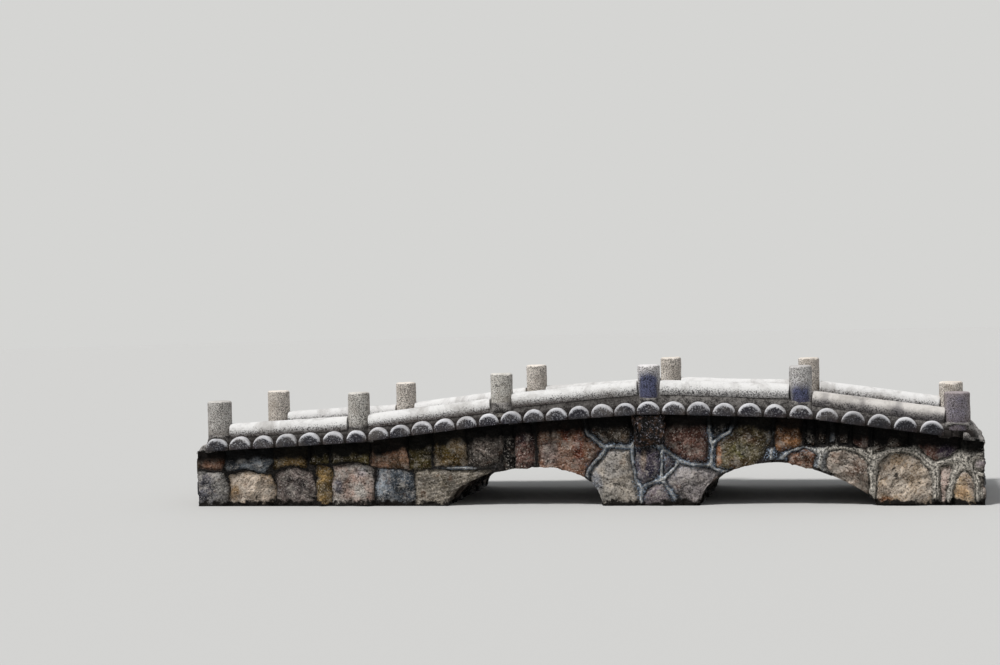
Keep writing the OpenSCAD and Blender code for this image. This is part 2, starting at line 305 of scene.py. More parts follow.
def sheet(bm, columns, rows, place):
    """A grid of faces, with each vertex put where place(column, row) says"""
    made = bmesh.ops.create_grid(bm, x_segments=columns, y_segments=rows, size=1.0)["verts"]
    flat = np.array([vert.co[:2] for vert in made])
    column = np.rint((flat[:, 0] + 1) / 2 * columns).astype(int)
    row = np.rint((flat[:, 1] + 1) / 2 * rows).astype(int)
    for vert, spot in zip(made, place(column, row)):
        vert.co = spot
    return made


def grow_rim(bm, rim, move):
    """Extrudes the open rim of a sheet once and moves the new vertices"""
    made = bmesh.ops.extrude_edge_only(bm, edges=rim)["geom"]
    for item in made:
        if isinstance(item, bmesh.types.BMVert):
            item.co = move(item.co)
    return [item for item in made if isinstance(item, bmesh.types.BMEdge) and item.is_boundary]


def close_rim(bm, rim):
    bmesh.ops.triangle_fill(bm, edges=rim, use_beauty=True, use_dissolve=False)


def draw_profile(bm, points, closed=False):
    """Vertices joined by edges in their order"""
    verts = [bm.verts.new(point) for point in points]
    return [bm.edges.new(pair) for pair in zip(verts, verts[1:] + verts[:1] * closed)]


def spin_profile(bm, axis, steps):
    """Turns the profile once round an axis through the origin"""
    bmesh.ops.spin(bm, geom=bm.verts[:] + bm.edges[:], cent=(0, 0, 0), axis=axis, dvec=(0, 0, 0),
                   angle=2 * math.pi, steps=steps, use_merge=True, use_duplicate=False)
    bmesh.ops.remove_doubles(bm, verts=bm.verts, dist=1e-6)


def cut_level(bm, height):
    """Cuts off what lies below a height and closes the cut"""
    bmesh.ops.bisect_plane(bm, geom=bm.verts[:] + bm.edges[:] + bm.faces[:], plane_co=(0, 0, height),
                           plane_no=(0, 0, -1), clear_outer=True, dist=1e-6)
    close_rim(bm, open_edges(bm))


def soften(bm, verts, turns):
    for turn in range(turns):
        bmesh.ops.smooth_vert(bm, verts=verts, factor=0.5, use_axis_x=True, use_axis_y=True,
                              use_axis_z=True)


def seal(bm):
    """Merges doubles and turns the faces of each closed shell outwards"""
    bmesh.ops.remove_doubles(bm, verts=bm.verts, dist=1e-6)
    bmesh.ops.recalc_face_normals(bm, faces=bm.faces)


def to_mesh(bm, name):
    mesh = bpy.data.meshes.new(name)
    bm.to_mesh(mesh)
    bm.free()
    mesh.shade_smooth()
    return mesh


def closed_mesh(bm, name, shown=None):
    """The mesh of a closed shape, with its points and the move outwards at each of them"""
    seal(bm)
    mesh = to_mesh(bm, name)
    return mesh, points_of(mesh), outward(mesh, shown)


def paint_stones(mesh, marks, **changed):
    """Keeps what stone_surface worked out, except its height, with some of the marks changed"""
    for name, values in {**marks, **changed}.items():
        if name != "height":
            paint(mesh, name, values)


def put_in_scene(name, data):
    item = bpy.data.objects.new(name, data)
    bpy.context.scene.collection.objects.link(item)
    return item


def add_piece(mesh, material, slot, *nodes):
    """Puts a finished mesh in the scene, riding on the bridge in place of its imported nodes"""
    piece = put_in_scene(mesh.name, mesh)
    mesh.materials.append(material)
    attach(piece, "root")
    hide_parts(*nodes)


def join_meshes(parts, name):
    """One mesh from several, each with its own moved points and paint"""
    bm = bmesh.new()
    for part in parts:
        bm.from_mesh(part)
        bpy.data.meshes.remove(part)
    return to_mesh(bm, name)


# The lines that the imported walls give

def wall_lines():
    """The foot of the front wall, with both arches, and the seat along its top"""
    points = points_of(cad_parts["front_wall"].data)
    face = points[np.abs(points[:, 1] + FACE) < 1e-4][:, [0, 2]]
    face = np.unique(np.round(face, 5), axis=0)
    split = 0.85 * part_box("left_end_wall")[1].z
    return face[face[:, 1] < split], face[face[:, 1] >= split]


FOOT_LINE, SEAT_LINE = wall_lines()


def seat(x):
    """Height of the seat of the deck at places along the bridge"""
    return np.interp(x, SEAT_LINE[:, 0], SEAT_LINE[:, 1])


def tilt(x):
    """Slope of the seat in radians"""
    return math.atan2(seat(x + HAIR) - seat(x - HAIR), 2 * HAIR)


def walk(line, step):
    """Points along a line, no further than a step apart, with its corners kept"""
    points = [line[0]]
    for a, b in zip(line, line[1:]):
        count = max(1, math.ceil(np.linalg.norm(b - a) / step))
        points += [a + (b - a) * k / count for k in range(1, count + 1)]
    return np.array(points)


def packed_log_lines():
    """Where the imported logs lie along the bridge, for each bay"""
    bays = []
    for bay in range(1, BAYS + 1):
        points = points_of(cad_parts[f"deck_logs_{bay}"].data)
        xs = np.sort(points[np.abs(points[:, 1]) > LOG_END - HAIR, 0])
        groups = np.split(xs, np.flatnonzero(np.diff(xs) > 0.05) + 1)
        bays.append([float(group.min() + group.max()) / 2 for group in groups])
    return bays


LOG_LINES = packed_log_lines()
POST_BOXES = [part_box(f"post_front_{i}") for i in range(1, BAYS + 2)]
POST_X = [(low.x + high.x) / 2 for low, high in POST_BOXES]
POST_RADIUS = [(high.x - low.x) / 2 for low, high in POST_BOXES]
POST_TOP = [high.z for low, high in POST_BOXES]
POST_Y = -(POST_BOXES[1][0].y + POST_BOXES[1][1].y) / 2


# Stone patterns. Each says which stone a point is on, how far in from its edge the point lies,
# and how far the point is from the middle of the nearest joint.

def outline_pattern(points, outlines):
    """The pattern of stones that are drawn as outlines, for points that lie near any of them"""
    far_away = 9.0
    margin = 0.2
    nearest = np.full(len(points), far_away)
    second = np.full(len(points), far_away)
    stone = np.zeros(len(points), int)
    for index, outline in enumerate(outlines):
        near = np.all((points > outline.min(0) - margin) & (points < outline.max(0) + margin), axis=1)
        here = points[near]
        gap = np.full(len(here), far_away)
        inside = np.zeros(len(here), bool)
        for a, b in zip(outline, np.roll(outline, -1, axis=0)):
            along = np.clip((here - a) @ (b - a) / ((b - a) @ (b - a)), 0, 1)
            gap = np.minimum(gap, np.linalg.norm(here - a - along[:, None] * (b - a), axis=1))
            crossed = (a[1] > here[:, 1]) != (b[1] > here[:, 1])
            rise = b[1] - a[1] if b[1] != a[1] else 1.0
            inside ^= crossed & (here[:, 0] < a[0] + (here[:, 1] - a[1]) / rise * (b[0] - a[0]))
        gap = np.where(inside, -gap, gap)
        old_nearest, old_second = nearest[near], second[near]
        first = gap < old_nearest
        second[near] = np.where(first, old_nearest, np.minimum(old_second, gap))
        nearest[near] = np.where(first, gap, old_nearest)
        stone[near] = np.where(first, index, stone[near])
    return stone, -nearest, np.maximum(second - nearest, 0) / 2


def scattered_pattern(points, seeds, joint):
    """The pattern of stones that reach from scattered seeds halfway to their neighbours"""
    away = np.linalg.norm(points[:, None] - seeds[None], axis=2)
    order = np.argpartition(away, 1, axis=1)[:, :2]
    rows = np.arange(len(points))
    swap = away[rows, order[:, 0]] > away[rows, order[:, 1]]
    order[swap] = order[swap][:, ::-1]
    one, two = order[:, 0], order[:, 1]
    near, far = away[rows, one], away[rows, two]
    to_one = (points - seeds[one]) / np.maximum(near, 1e-6)[:, None]
    to_two = (points - seeds[two]) / np.maximum(far, 1e-6)[:, None]
    middle = (far - near) / np.maximum(np.linalg.norm(to_one - to_two, axis=1), 0.5)
    return one, middle - joint / 2, middle


def scatter_stones(low, high, size, rng):
    """Places for stones laid in rough courses from one corner to the other"""
    seeds = []
    level = low[1]
    while level < high[1] + size / 2:
        height = size * rng.uniform(0.75, 1.15)
        across = low[0] - size * rng.uniform(0, 1)
        while across < high[0] + size:
            width = size * rng.uniform(0.95, 1.9)
            seeds.append((across + width / 2, level + height * rng.uniform(0.3, 0.7)))
            across += width
        level += height
    return np.array(seeds)


def stone_table(kinds, rng):
    """What is chance in each stone: its lean, its facets, its bedding and its shade"""
    count = len(kinds)
    bedding = rng.uniform(-0.5, 0.7, count)
    return {
        "seed": rng.uniform(0, 1, count),
        "bulge": rng.uniform(0.010, 0.024, count),
        # The stones in the deep gaps lie back, besides being painted near black as shadow
        "lift": np.where(np.array(kinds) == "shadowed_gap", -0.012, rng.uniform(-0.003, 0.004, count)),
        "lean": rng.normal(0, 0.030, (count, 2)),
        "facet": rng.normal(0, 0.22, (count, 5, 2)),
        "facet_lift": rng.uniform(0.002, 0.012, (count, 5)),
        "bedding": np.stack([-np.sin(bedding), np.cos(bedding)], axis=1),
        "bedded": np.array([STONE_KINDS[kind][2] for kind in kinds]),
        "shade": rng.uniform(0.88, 1.12, count),
        "main": np.array([linear(STONE_KINDS[kind][0])[:3] for kind in kinds]),
        "patch": np.array([linear(STONE_KINDS[kind][1])[:3] for kind in kinds]),
    }


def stone_surface(points, flat, pattern, centres, table, settings, pointed, broad):
    """How far each point stands out, and the marks by which the material tells stone from joint

    pointed is the share of the raised pointing that is left, and broad goes from 0 for a narrow ribbon
    to 1 for a broad flush joint.
    """
    stone, inside, middle = pattern
    # Each stone has noise of its own, flat facets, and ledges along its bedding
    own = points + table["seed"][stone][:, None] * 9.0
    local = flat - centres[stone]
    planes = np.einsum("ijk,ik->ij", table["facet"][stone], local) + table["facet_lift"][stone]
    facets = np.clip(planes.min(axis=1), -0.020, 0.008)
    warped = np.einsum("ij,ij->i", local, table["bedding"][stone]) + 0.014 * lumps(own, 0.11, 3)
    layer = warped / (0.018 + 0.022 * table["seed"][stone])
    step = layer - np.floor(layer)
    ledge = (step - 0.5) * 0.0090 * table["bedded"][stone] * ease((1 - step) / 0.18)
    # Flakes of two sizes have come off the stone, which bulges, leans and rounds off towards its edge
    spall = 0.0085 * ease((lumps(own, 0.085, 14) - 0.02) / 0.08)
    spall += 0.0055 * ease((lumps(own, 0.040, 15) - 0.20) / 0.12)
    body = table["bulge"][stone] * settings.bulge * ease(inside / 0.055) + table["lift"][stone]
    body += np.einsum("ij,ij->i", table["lean"][stone], local) + facets + ledge - spall
    body += 0.0060 * rough(own, 0.06, 1) + 0.0030 * rough(own, 0.018, 5, 2)
    body -= 0.014 * (1 - ease(inside / 0.014))
    # The pointing is kept in places, where it stands up as a ribbon with a round section
    kept = np.clip(pointed + 0.35 * rough(points, 0.12, 10) * (pointed < 0.95), 0, 1)
    ribbon = settings.ribbon_width / 2 * np.clip(1 + 0.55 * lumps(points, 0.05, 8), 0.4, 1.7)
    bead = np.clip(1 - (middle / (ribbon * (1 + broad))) ** 2, 0, 1) ** 0.5 * ease(kept * 2 - 0.5)
    rise = settings.ribbon_rise * (1 - 0.6 * broad) * (0.6 + 1.1 * rough(points, 0.028, 18))
    joint = -0.011 + 0.010 * broad * kept + 0.004 * rough(points, 0.03, 6) + (rise + 0.008) * bead
    share = ease((inside + 0.003) / 0.008) * (1 - ease(bead * 3))
    # The stone turns from its main tone to its second one in patches, and its edge is darkened with painted
    # shade
    patchy = ease(0.5 + 1.1 * rough(own, 0.12, 11) + 0.3 * lumps(own, 0.022, 12))
    tone = table["main"][stone] * (1 - patchy[:, None]) + table["patch"][stone] * patchy[:, None]
    edge_shade = 0.40 * (1 - ease(inside / 0.026)) * np.clip(0.7 + 0.9 * rough(points, 0.05, 19), 0, 1)
    edge_shade = edge_shade * (1 - 0.8 * broad)
    return {
        "height": joint * (1 - share) + body * share,
        "tint": tone * table["shade"][stone][:, None],
        "edge": np.clip(inside, -0.06, 0.06),
        "gap": np.clip(middle, 0, 0.08),
        "pointing": kept,
        "broad": broad * np.ones(len(points)),
        "grime": edge_shade * (inside > 0),
        "stone_seed": table["seed"][stone],
    }


# Materials

def add_node(tree, kind, inputs=(), **settings):
    """Adds a node, sets it up, and fills its inputs, in order or by name, with values or links"""
    node = tree.nodes.new("ShaderNode" + kind)
    for name, value in settings.items():
        setattr(node, name, value)
    if not isinstance(inputs, dict):
        inputs = dict(enumerate(inputs))
    for key, value in inputs.items():
        if isinstance(value, bpy.types.NodeSocket):
            tree.links.new(value, node.inputs[key])
        else:
            node.inputs[key].default_value = value
    return node.outputs


def begin_tree(owner):
    """Empties the node tree of a material or a world and gives what adds nodes to it"""
    owner.use_nodes = True
    owner.node_tree.nodes.clear()
    return functools.partial(add_node, owner.node_tree)


def begin_material(name):
    """A new material, what adds nodes to it, and the piece's own coordinates"""
    material = bpy.data.materials.new(name)
    add = begin_tree(material)
    return material, add, add("TexCoord")["Object"]


def end_material(add, colour, roughness, bump_height, bump_depth, specular=0.35):
    """The surface of a finish, with its relief"""
    normal = add("Bump", {"Height": bump_height, "Distance": bump_depth, "Strength": 1.0})["Normal"]
    surface = add("BsdfPrincipled", {
        "Base Color": colour, "Roughness": roughness, "IOR": 1.5, "Specular IOR Level": specular,
        "Normal": normal})["BSDF"]
    add("OutputMaterial", {"Surface": surface})


def split_rock(add, place):
    """The colour and the relief of the facing stones, each with its own lean and its own grain"""
    tint = add("Attribute", attribute_name="tint")["Color"]
    seed = add("Attribute", attribute_name="stone_seed")["Fac"]
    shift = add("VectorMath", [seed, (31.0, 17.0, 23.0)], operation="MULTIPLY")[0]
    moved = add("VectorMath", [place, shift], operation="ADD")[0]
    lean = add("Math", [seed, 1.5, -0.6], operation="MULTIPLY_ADD")[0]
    own = add("VectorRotate", {"Vector": moved, "Angle": lean}, rotation_type="Y_AXIS")["Vector"]
    bend = add("TexNoise", {"Vector": own, "Scale": 1 / 0.060, "Detail": 3.0})["Color"]
    bend_small = add("VectorMath", {0: bend, "Scale": 0.045}, operation="SCALE")[0]
    bent = add("VectorMath", [own, bend_small], operation="ADD")[0]
    # Split facets about 85 mm across, each painted lighter or darker, as painted light and shade
    cells = add("TexVoronoi", {"Vector": bent, "Scale": 1 / 0.085, "Randomness": 1.0})["Color"]
    facet = add("SeparateColor", [cells])["Green"]
    facet_light = add("MapRange", [facet, 0.0, 1.0, 0.66, 1.34])[0]
    # Streaks about 140 mm long and 24 mm thick along the bedding
    along = add("Mapping", {"Vector": bent, "Scale": (1 / 0.140, 1 / 0.060, 1 / 0.024)})["Vector"]
    streak = add("TexNoise", {"Vector": along, "Scale": 1.0, "Detail": 5.0, "Roughness": 0.62})["Fac"]
    streak_gain = add("MapRange", [streak, 0.34, 0.66, 0.62, 1.46])[0]
    gain = add("Math", [facet_light, streak_gain], operation="MULTIPLY")[0]
    # Grains of about 14 mm: the lowest are dark pits and the highest pale crystals
    grain = add("TexNoise", {"Vector": own, "Scale": 1 / 0.014, "Detail": 4.0, "Roughness": 0.72})["Fac"]
    pit_gain = add("MapRange", [grain, 0.38, 0.49, 0.18, 1.0])[0]
    pitted = add("Math", [gain, pit_gain], operation="MULTIPLY")[0]
    mottled = add("VectorMath", {0: tint, "Scale": pitted}, operation="SCALE")[0]
    # A pale bloom of lime, and iron stains, in patches of 75 to 90 mm
    bloom = add("TexNoise", {"Vector": bent, "Scale": 1 / 0.075, "Detail": 6.0, "Roughness": 0.68})["Fac"]
    bloom_share = add("MapRange", [bloom, 0.50, 0.66, 0.0, 0.50])[0]
    dust = add("VectorMath", {0: linear("#a39c93")[:3], "Scale": gain}, operation="SCALE")[0]
    bloomed = add("Mix", {0: bloom_share, 6: mottled, 7: dust}, data_type="RGBA")[2]
    iron_place = add("VectorMath", [bent, (5.0, 3.0, 9.0)], operation="ADD")[0]
    iron = add("TexNoise", {
        "Vector": iron_place, "Scale": 1 / 0.090, "Detail": 6.0, "Roughness": 0.7})["Fac"]
    iron_share = add("MapRange", [iron, 0.57, 0.68, 0.0, 0.45])[0]
    stained = add("Mix", {0: iron_share, 6: bloomed, 7: linear("#5e3a22")}, data_type="RGBA")[2]
    crystal_share = add("MapRange", [grain, 0.56, 0.63, 0.0, 0.72])[0]
    sparkled = add("Mix", {0: crystal_share, 6: stained, 7: linear("#c0b9b0")}, data_type="RGBA")[2]
    # Fissures, where a stretched noise crosses its middle value, only in part of each stone
    crack_place = add("Mapping", {
        "Vector": own, "Rotation": (0.0, 0.5, 0.0), "Scale": (6.0, 6.0, 14.0)})["Vector"]
    crack = add("TexNoise", {
        "Vector": crack_place, "Scale": 1.0, "Detail": 4.0, "Roughness": 0.55, "Distortion": 0.5})["Fac"]
    crack_off = add("Math", [crack, 0.5], operation="SUBTRACT")[0]
    crack_size = add("Math", [crack_off], operation="ABSOLUTE")[0]
    crack_reach = add("MapRange", [iron, 0.44, 0.54, 0.0, 0.20])[0]
    crack_gap = add("Math", [crack_size, crack_reach], operation="ADD")[0]
    crack_gain = add("MapRange", [crack_gap, 0.003, 0.020, 0.12, 1.0])[0]
    colour = add("VectorMath", {0: sparkled, "Scale": crack_gain}, operation="SCALE")[0]
    layered = add("Math", [facet, 0.5, streak], operation="MULTIPLY_ADD")[0]
    grained = add("Math", [grain, 0.7, layered], operation="MULTIPLY_ADD")[0]
    relief = add("Math", [crack_gain, 0.6, grained], operation="MULTIPLY_ADD")[0]
    return colour, relief


def rubble_stone(masonry):
    """Split quartzite and sandstone rubble, pointed with raised cement ribbons, stained by damp, and
    darkened with painted shade at the stone edges and under the deck
    """
    # Broken by hammer and left rough, so each stone is matt, with broad facets and streaks along its
    # bedding that go from its own tone to grey, dark pits and pale crystals. The cement is cooler.
    material, add, place = begin_material("split_quartzite_rubble")
    rock, rock_relief = split_rock(add, place)
    marks = ("edge", "gap", "pointing", "broad", "grime")
    edge, gap, pointing, broad, grime = [add("Attribute", attribute_name=mark)["Fac"] for mark in marks]
    # The edge between stone and joint is broken by noise, so that it is as ragged as split rock
    nibble = add("TexNoise", {"Vector": place, "Scale": 1 / 0.026, "Detail": 5.0, "Roughness": 0.68})["Fac"]
    fine = add("TexNoise", {"Vector": place, "Scale": 1 / 0.015, "Detail": 4.0, "Roughness": 0.75})["Fac"]
    nibble_move = add("Math", [nibble, 0.034, -0.017], operation="MULTIPLY_ADD")[0]
    edge_near = add("Math", [edge, nibble_move], operation="ADD")[0]
    edge_broken = add("Math", [broad, -0.012, edge_near], operation="MULTIPLY_ADD")[0]
    stone_share = add("MapRange", [edge_broken, -0.002, 0.003])[0]
    # The raised ribbon is painted with a pale highlight on its crest and bluer shade on its sides. It
    # breaks off in places.
    fine_move = add("Math", [fine, 0.085, -0.0425], operation="MULTIPLY_ADD")[0]
    gap_near = add("Math", [gap, fine_move], operation="ADD")[0]
    gap_nearer = add("Math", [nibble_move, 1.1, gap_near], operation="MULTIPLY_ADD")[0]
    gap_broken = add("Math", [broad, -0.017, gap_nearer], operation="MULTIPLY_ADD")[0]
    torn = add("Math", [nibble, 1.1, pointing], operation="MULTIPLY_ADD")[0]
    kept = add("MapRange", [torn, 0.90, 1.08])[0]
    ribbon_reach = add("MapRange", [gap_broken, 0.012, 0.018, 1.0, 0.0])[0]
    ribbon_share = add("Math", [ribbon_reach, kept], operation="MULTIPLY")[0]
    lit_crest = add("MapRange", [gap_broken, 0.002, 0.012, 1.0, 0.0])[0]
    ribbon = add("Mix", {0: lit_crest, 6: linear("#66717e"), 7: linear(masonry.ribbon_tone)},
                 data_type="RGBA")[2]
    # Lime has bloomed on the ribbons in stretches of about 0.1 m
    stretch = add("TexNoise", {"Vector": place, "Scale": 1 / 0.10, "Detail": 3.0, "Roughness": 0.6})["Fac"]
    stretch_gain = add("MapRange", [stretch, 0.38, 0.62, 0.60, 2.00])[0]
    limed = add("VectorMath", {0: ribbon, "Scale": stretch_gain}, operation="SCALE")[0]
    flush = add("Mix", {0: broad, 6: limed, 7: linear("#aca69c")}, data_type="RGBA")[2]
    # Flecks of lime lie on the stones beside the ribbons
    fleck_reach = add("MapRange", [gap, 0.018, 0.070, 0.95, 0.0])[0]
    fleck_grains = add("MapRange", [fine, 0.53, 0.58])[0]
    fleck_near = add("Math", [fleck_reach, fleck_grains], operation="MULTIPLY")[0]
    fleck = add("Math", [fleck_near, kept], operation="MULTIPLY")[0]
    pale_share = add("Math", [ribbon_share, fleck], operation="MAXIMUM")[0]
    filled = add("Math", [broad, kept], operation="MULTIPLY")[0]
    cement_share = add("Math", [pale_share, filled], operation="MAXIMUM")[0]
    cement = add("Mix", {0: cement_share, 6: linear(masonry.bare_joint_tone), 7: flush},
                 data_type="RGBA")[2]
    cement_gain = add("MapRange", [fine, 0.41, 0.59, 0.16, 1.75])[0]
    cement_toned = add("VectorMath", {0: cement, "Scale": cement_gain}, operation="SCALE")[0]
    bare = add("Math", [1.0, pale_share], operation="SUBTRACT")[0]
    shown_stone = add("Math", [stone_share, bare], operation="MULTIPLY")[0]
    faced = add("Mix", {0: shown_stone, 6: cement_toned, 7: rock}, data_type="RGBA")[2]
    # Grime, and painted shade at the stone edges, under the deck and in the arches, darken the face
    clean_and_lit = add("MapRange", [grime, 0.0, 1.0, 1.0, 0.02])[0]
    grimed = add("VectorMath", {0: faced, "Scale": clean_and_lit}, operation="SCALE")[0]
    # A wet band along the foot of the masonry, with a ragged top edge
    height = add("SeparateXYZ", [place])["Z"]
    ragged = add("TexNoise", {"Vector": place, "Scale": 1 / 0.060, "Detail": 5.0, "Roughness": 0.65})["Fac"]
    wet_line = add("Math", [ragged, -0.20, height], operation="MULTIPLY_ADD")[0]
    wet = add("MapRange", [wet_line, -0.072, -0.046, 1.0, 0.0])[0]
    wetted = add("Mix", {0: wet, 6: grimed, 7: linear("#15110d")}, data_type="RGBA")[2]
    roughness = add("MapRange", [wet, 0.0, 1.0, 0.86, 0.42])[0]
    raised = add("Math", [ribbon_share, 0.5, rock_relief], operation="MULTIPLY_ADD")[0]
    relief = add("Math", [stone_share, 0.5, raised], operation="MULTIPLY_ADD")[0]
    end_material(add, wetted, roughness, relief, 0.016, 0.12)
    return material


def core_masonry():
    """Rough rubble core, plastered with damp cement under the arches"""
    # Never seen in the sun, so it stays dark and brown with pale runs of lime.
    material, add, place = begin_material("plastered_rubble_core")
    blotch = add("TexNoise", {"Vector": place, "Scale": 1 / 0.080, "Detail": 7.0, "Roughness": 0.68})["Fac"]
    share = add("MapRange", [blotch, 0.36, 0.66])[0]
    colour = add("Mix", {0: share, 6: linear("#211c18"), 7: linear("#5d544a")}, data_type="RGBA")[2]
    end_material(add, colour, 0.85, blotch, 0.010)
    return material


def mortar(masonry):
    """Cement mortar laid by trowel, weathered and dusty"""
    # Sand grains stand out where rain has washed it. It is painted paler where it faces the sky, as painted
    # light, darker where its relief is low, and dark brown where dirt and painted shade lie.
    material, add, place = begin_material("weathered_cement_mortar")
    grime = add("Attribute", attribute_name="grime")["Fac"]
    up = add("SeparateXYZ", [add("NewGeometry")["Normal"]])["Z"]
    blotch = add("TexNoise", {
        "Vector": place, "Scale": 1 / 0.045, "Detail": 6.0, "Roughness": 0.7, "Distortion": 0.4})["Fac"]
    grain = add("TexNoise", {"Vector": place, "Scale": 1 / 0.010, "Detail": 3.0, "Roughness": 0.7})["Fac"]
    both = add("Math", [blotch, 1.2, grain], operation="MULTIPLY_ADD")[0]
    # Painted light: paler where the surface faces the sky
    with_top_light = add("Math", [up, 0.16, both], operation="MULTIPLY_ADD")[0]
    share = add("MapRange", [with_top_light, 0.98, 1.34])[0]
    base = add("Mix", {0: share, 6: linear("#2c2928"), 7: linear(masonry.mortar_tone)},
               data_type="RGBA")[2]
    dirt_and_shade = add("Math", [grime, 0.9], operation="MULTIPLY")[0]
    dirtied_and_shaded = add("Mix", {0: dirt_and_shade, 6: base, 7: linear("#1f1916")}, data_type="RGBA")[2]
    end_material(add, dirtied_and_shaded, 0.9, both, 0.010)
    return material


def dark_stone():
    """A block of dark basalt, split and stained by the drip from the deck"""
    # Almost black and a little shiny where it stays wet, with brown patches and pale specks of lime.
    material, add, place = begin_material("split_basalt")
    blotch = add("TexNoise", {
        "Vector": place, "Scale": 1 / 0.060, "Detail": 6.0, "Roughness": 0.7, "Distortion": 0.8})["Fac"]
    share = add("MapRange", [blotch, 0.50, 0.66])[0]
    base = add("Mix", {0: share, 6: linear("#060505"), 7: linear("#4a3424")}, data_type="RGBA")[2]
    specks = add("TexNoise", {"Vector": place, "Scale": 1 / 0.018, "Detail": 4.0, "Roughness": 0.75})["Fac"]
    speck_share = add("MapRange", [specks, 0.57, 0.63, 0.0, 0.95])[0]
    colour = add("Mix", {0: speck_share, 6: base, 7: linear("#8d8990")}, data_type="RGBA")[2]
    end_material(add, colour, 0.75, blotch, 0.018, 0.2)
    return material


def cast_concrete(name, tones, damp_and_shade_tones, pale_shares, crown, speck):
    """Cast concrete that imitates a log, with painted light making it paler where it faces the sky"""
    # Rain has washed the fines away, so dark pits and pale grains lie side by side, with more pale ones
    # painted on top as painted light. The real grains are 3 to 5 mm, and they are drawn coarser here so
    # that they show.
    material, add, place = begin_material(name)
    tint = add("Attribute", attribute_name="tint")["Color"]
    damp_and_shade, grime, worn = [
        add("Attribute", attribute_name=mark)["Fac"] for mark in ("damp_and_shade", "grime", "worn")]
    up = add("SeparateXYZ", [add("NewGeometry")["Normal"]])["Z"]
    blotch = add("TexNoise", {"Vector": place, "Scale": 1 / 0.060, "Detail": 5.0, "Roughness": 0.65})["Fac"]
    pepper = add("TexNoise", {"Vector": place, "Scale": 1 / speck, "Detail": 3.0, "Roughness": 0.75})["Fac"]
    pepper_even = add("MapRange", [pepper, 0.34, 0.66])[0]
    # Painted light: more pale grains where the surface faces the sky
    top_light = add("MapRange", [up, *crown, *pale_shares], interpolation_type="SMOOTHSTEP")[0]
    unworn = add("Math", [worn, -0.42, top_light], operation="MULTIPLY_ADD")[0]
    blotch_move = add("Math", [blotch, 0.7, -0.35], operation="MULTIPLY_ADD")[0]
    with_blotch = add("Math", [unworn, blotch_move], operation="ADD")[0]
    pale = add("Math", [with_blotch, pepper_even], operation="ADD")[0]
    pale_share = add("MapRange", [pale, 0.74, 1.26])[0]
    fresh = add("Mix", {0: pale_share, 6: linear(tones[0]), 7: linear(tones[1])}, data_type="RGBA")[2]
    # Grey-brown staining in patches of about 0.2 m
    stain = add("TexNoise", {
        "Vector": place, "Scale": 1 / 0.20, "Detail": 7.0, "Roughness": 0.65, "Distortion": 0.5})["Fac"]
    stain_share = add("MapRange", [stain, 0.46, 0.66, 0.0, 0.50])[0]
    base = add("Mix", {0: stain_share, 6: fresh, 7: linear("#7d766e")}, data_type="RGBA")[2]
    toned = add("Mix", {0: 1.0, 6: base, 7: tint}, data_type="RGBA", blend_type="MULTIPLY")[2]
    # Damp stains and painted shade start from the mark in the mesh, and blotches and grains break their
    # edge
    damp_and_shade_near = add("Math", [blotch, 0.9, damp_and_shade], operation="MULTIPLY_ADD")[0]
    damp_and_shade_edge = add("Math", [pepper, 0.5, damp_and_shade_near], operation="MULTIPLY_ADD")[0]
    damp_and_shade_share = add("MapRange", [damp_and_shade_edge, 0.75, 1.60, 0.0, 0.94])[0]
    damp_and_shade_tone = add("Mix", {0: pale_share, 6: linear(damp_and_shade_tones[0]), 7: linear(damp_and_shade_tones[1])},
                    data_type="RGBA")[2]
    damped_and_shaded = add("Mix", {0: damp_and_shade_share, 6: toned, 7: damp_and_shade_tone}, data_type="RGBA")[2]
    dirtied_and_shaded = add("Mix", {0: grime, 6: damped_and_shaded, 7: linear("#38251b")}, data_type="RGBA")[2]
    relief = add("Math", [blotch, 0.7, pepper], operation="MULTIPLY_ADD")[0]
    end_material(add, dirtied_and_shaded, 0.88, relief, 0.006)
    return material


def materials(context):
    """The finishes by slot, each made once"""
    if not FINISHES:
        masonry = context.scene.footbridge_masonry
        concrete = context.scene.footbridge_concrete
        logs = concrete.log_dark_tone, concrete.log_pale_tone
        curbs = concrete.curb_dark_tone, concrete.curb_pale_tone
        posts = concrete.post_dark_tone, concrete.post_pale_tone
        FINISHES.update({
            "rubble_stone": rubble_stone(masonry),
            "core_masonry": core_masonry(),
            "mortar": mortar(masonry),
            "dark_stone": dark_stone(),
            "log_concrete": cast_concrete("cast_concrete_logs", logs, ("#0f1018", "#50535f"),
                                          (0.0, 1.25), (-0.12, 0.66), 0.012),
            "curb_concrete": cast_concrete("cast_concrete_curbs", curbs, ("#232224", "#6a6667"),
                                           (0.50, 1.15), (-0.25, 0.66), 0.012),
            "post_concrete": cast_concrete("cast_concrete_posts", posts, ("#0b0e1d", "#4a5074"),
                                           (0.50, 1.0), (0.20, 0.85), 0.0085),
        })
    return FINISHES


# Settings

class FootbridgeMasonry(bpy.types.PropertyGroup):
    """Sizes and tones of the rubble masonry"""
    mesh_step: bpy.props.FloatProperty(
        name="Mesh step", description="Distance between points on the wall faces",
        default=0.0080, min=0.006, max=0.05, unit="LENGTH")
    ribbon_width: bpy.props.FloatProperty(
        name="Ribbon width", description="Width of the raised pointing between the stones",
        default=0.019, min=0.01, max=0.05, unit="LENGTH")
    ribbon_rise: bpy.props.FloatProperty(
        name="Ribbon rise", description="How far the raised pointing stands out",
        default=0.008, min=0.0, max=0.03, unit="LENGTH")
    bulge: bpy.props.FloatProperty(
        name="Stone bulge", description="How strongly the stones bulge out, where 1 is as built",
        default=1.0, min=0.0, max=2.0, subtype="FACTOR")
    ribbon_tone: bpy.props.StringProperty(
        name="Ribbon tone", description="sRGB hex tone of the raised pointing", default="#c6c4bf")
    bare_joint_tone: bpy.props.StringProperty(
        name="Bare joint tone", description="sRGB hex tone of washed out joints", default="#2a2725")
    mortar_tone: bpy.props.StringProperty(
        name="Mortar tone", description="sRGB hex tone of the dry bedding mortar", default="#a39e99")


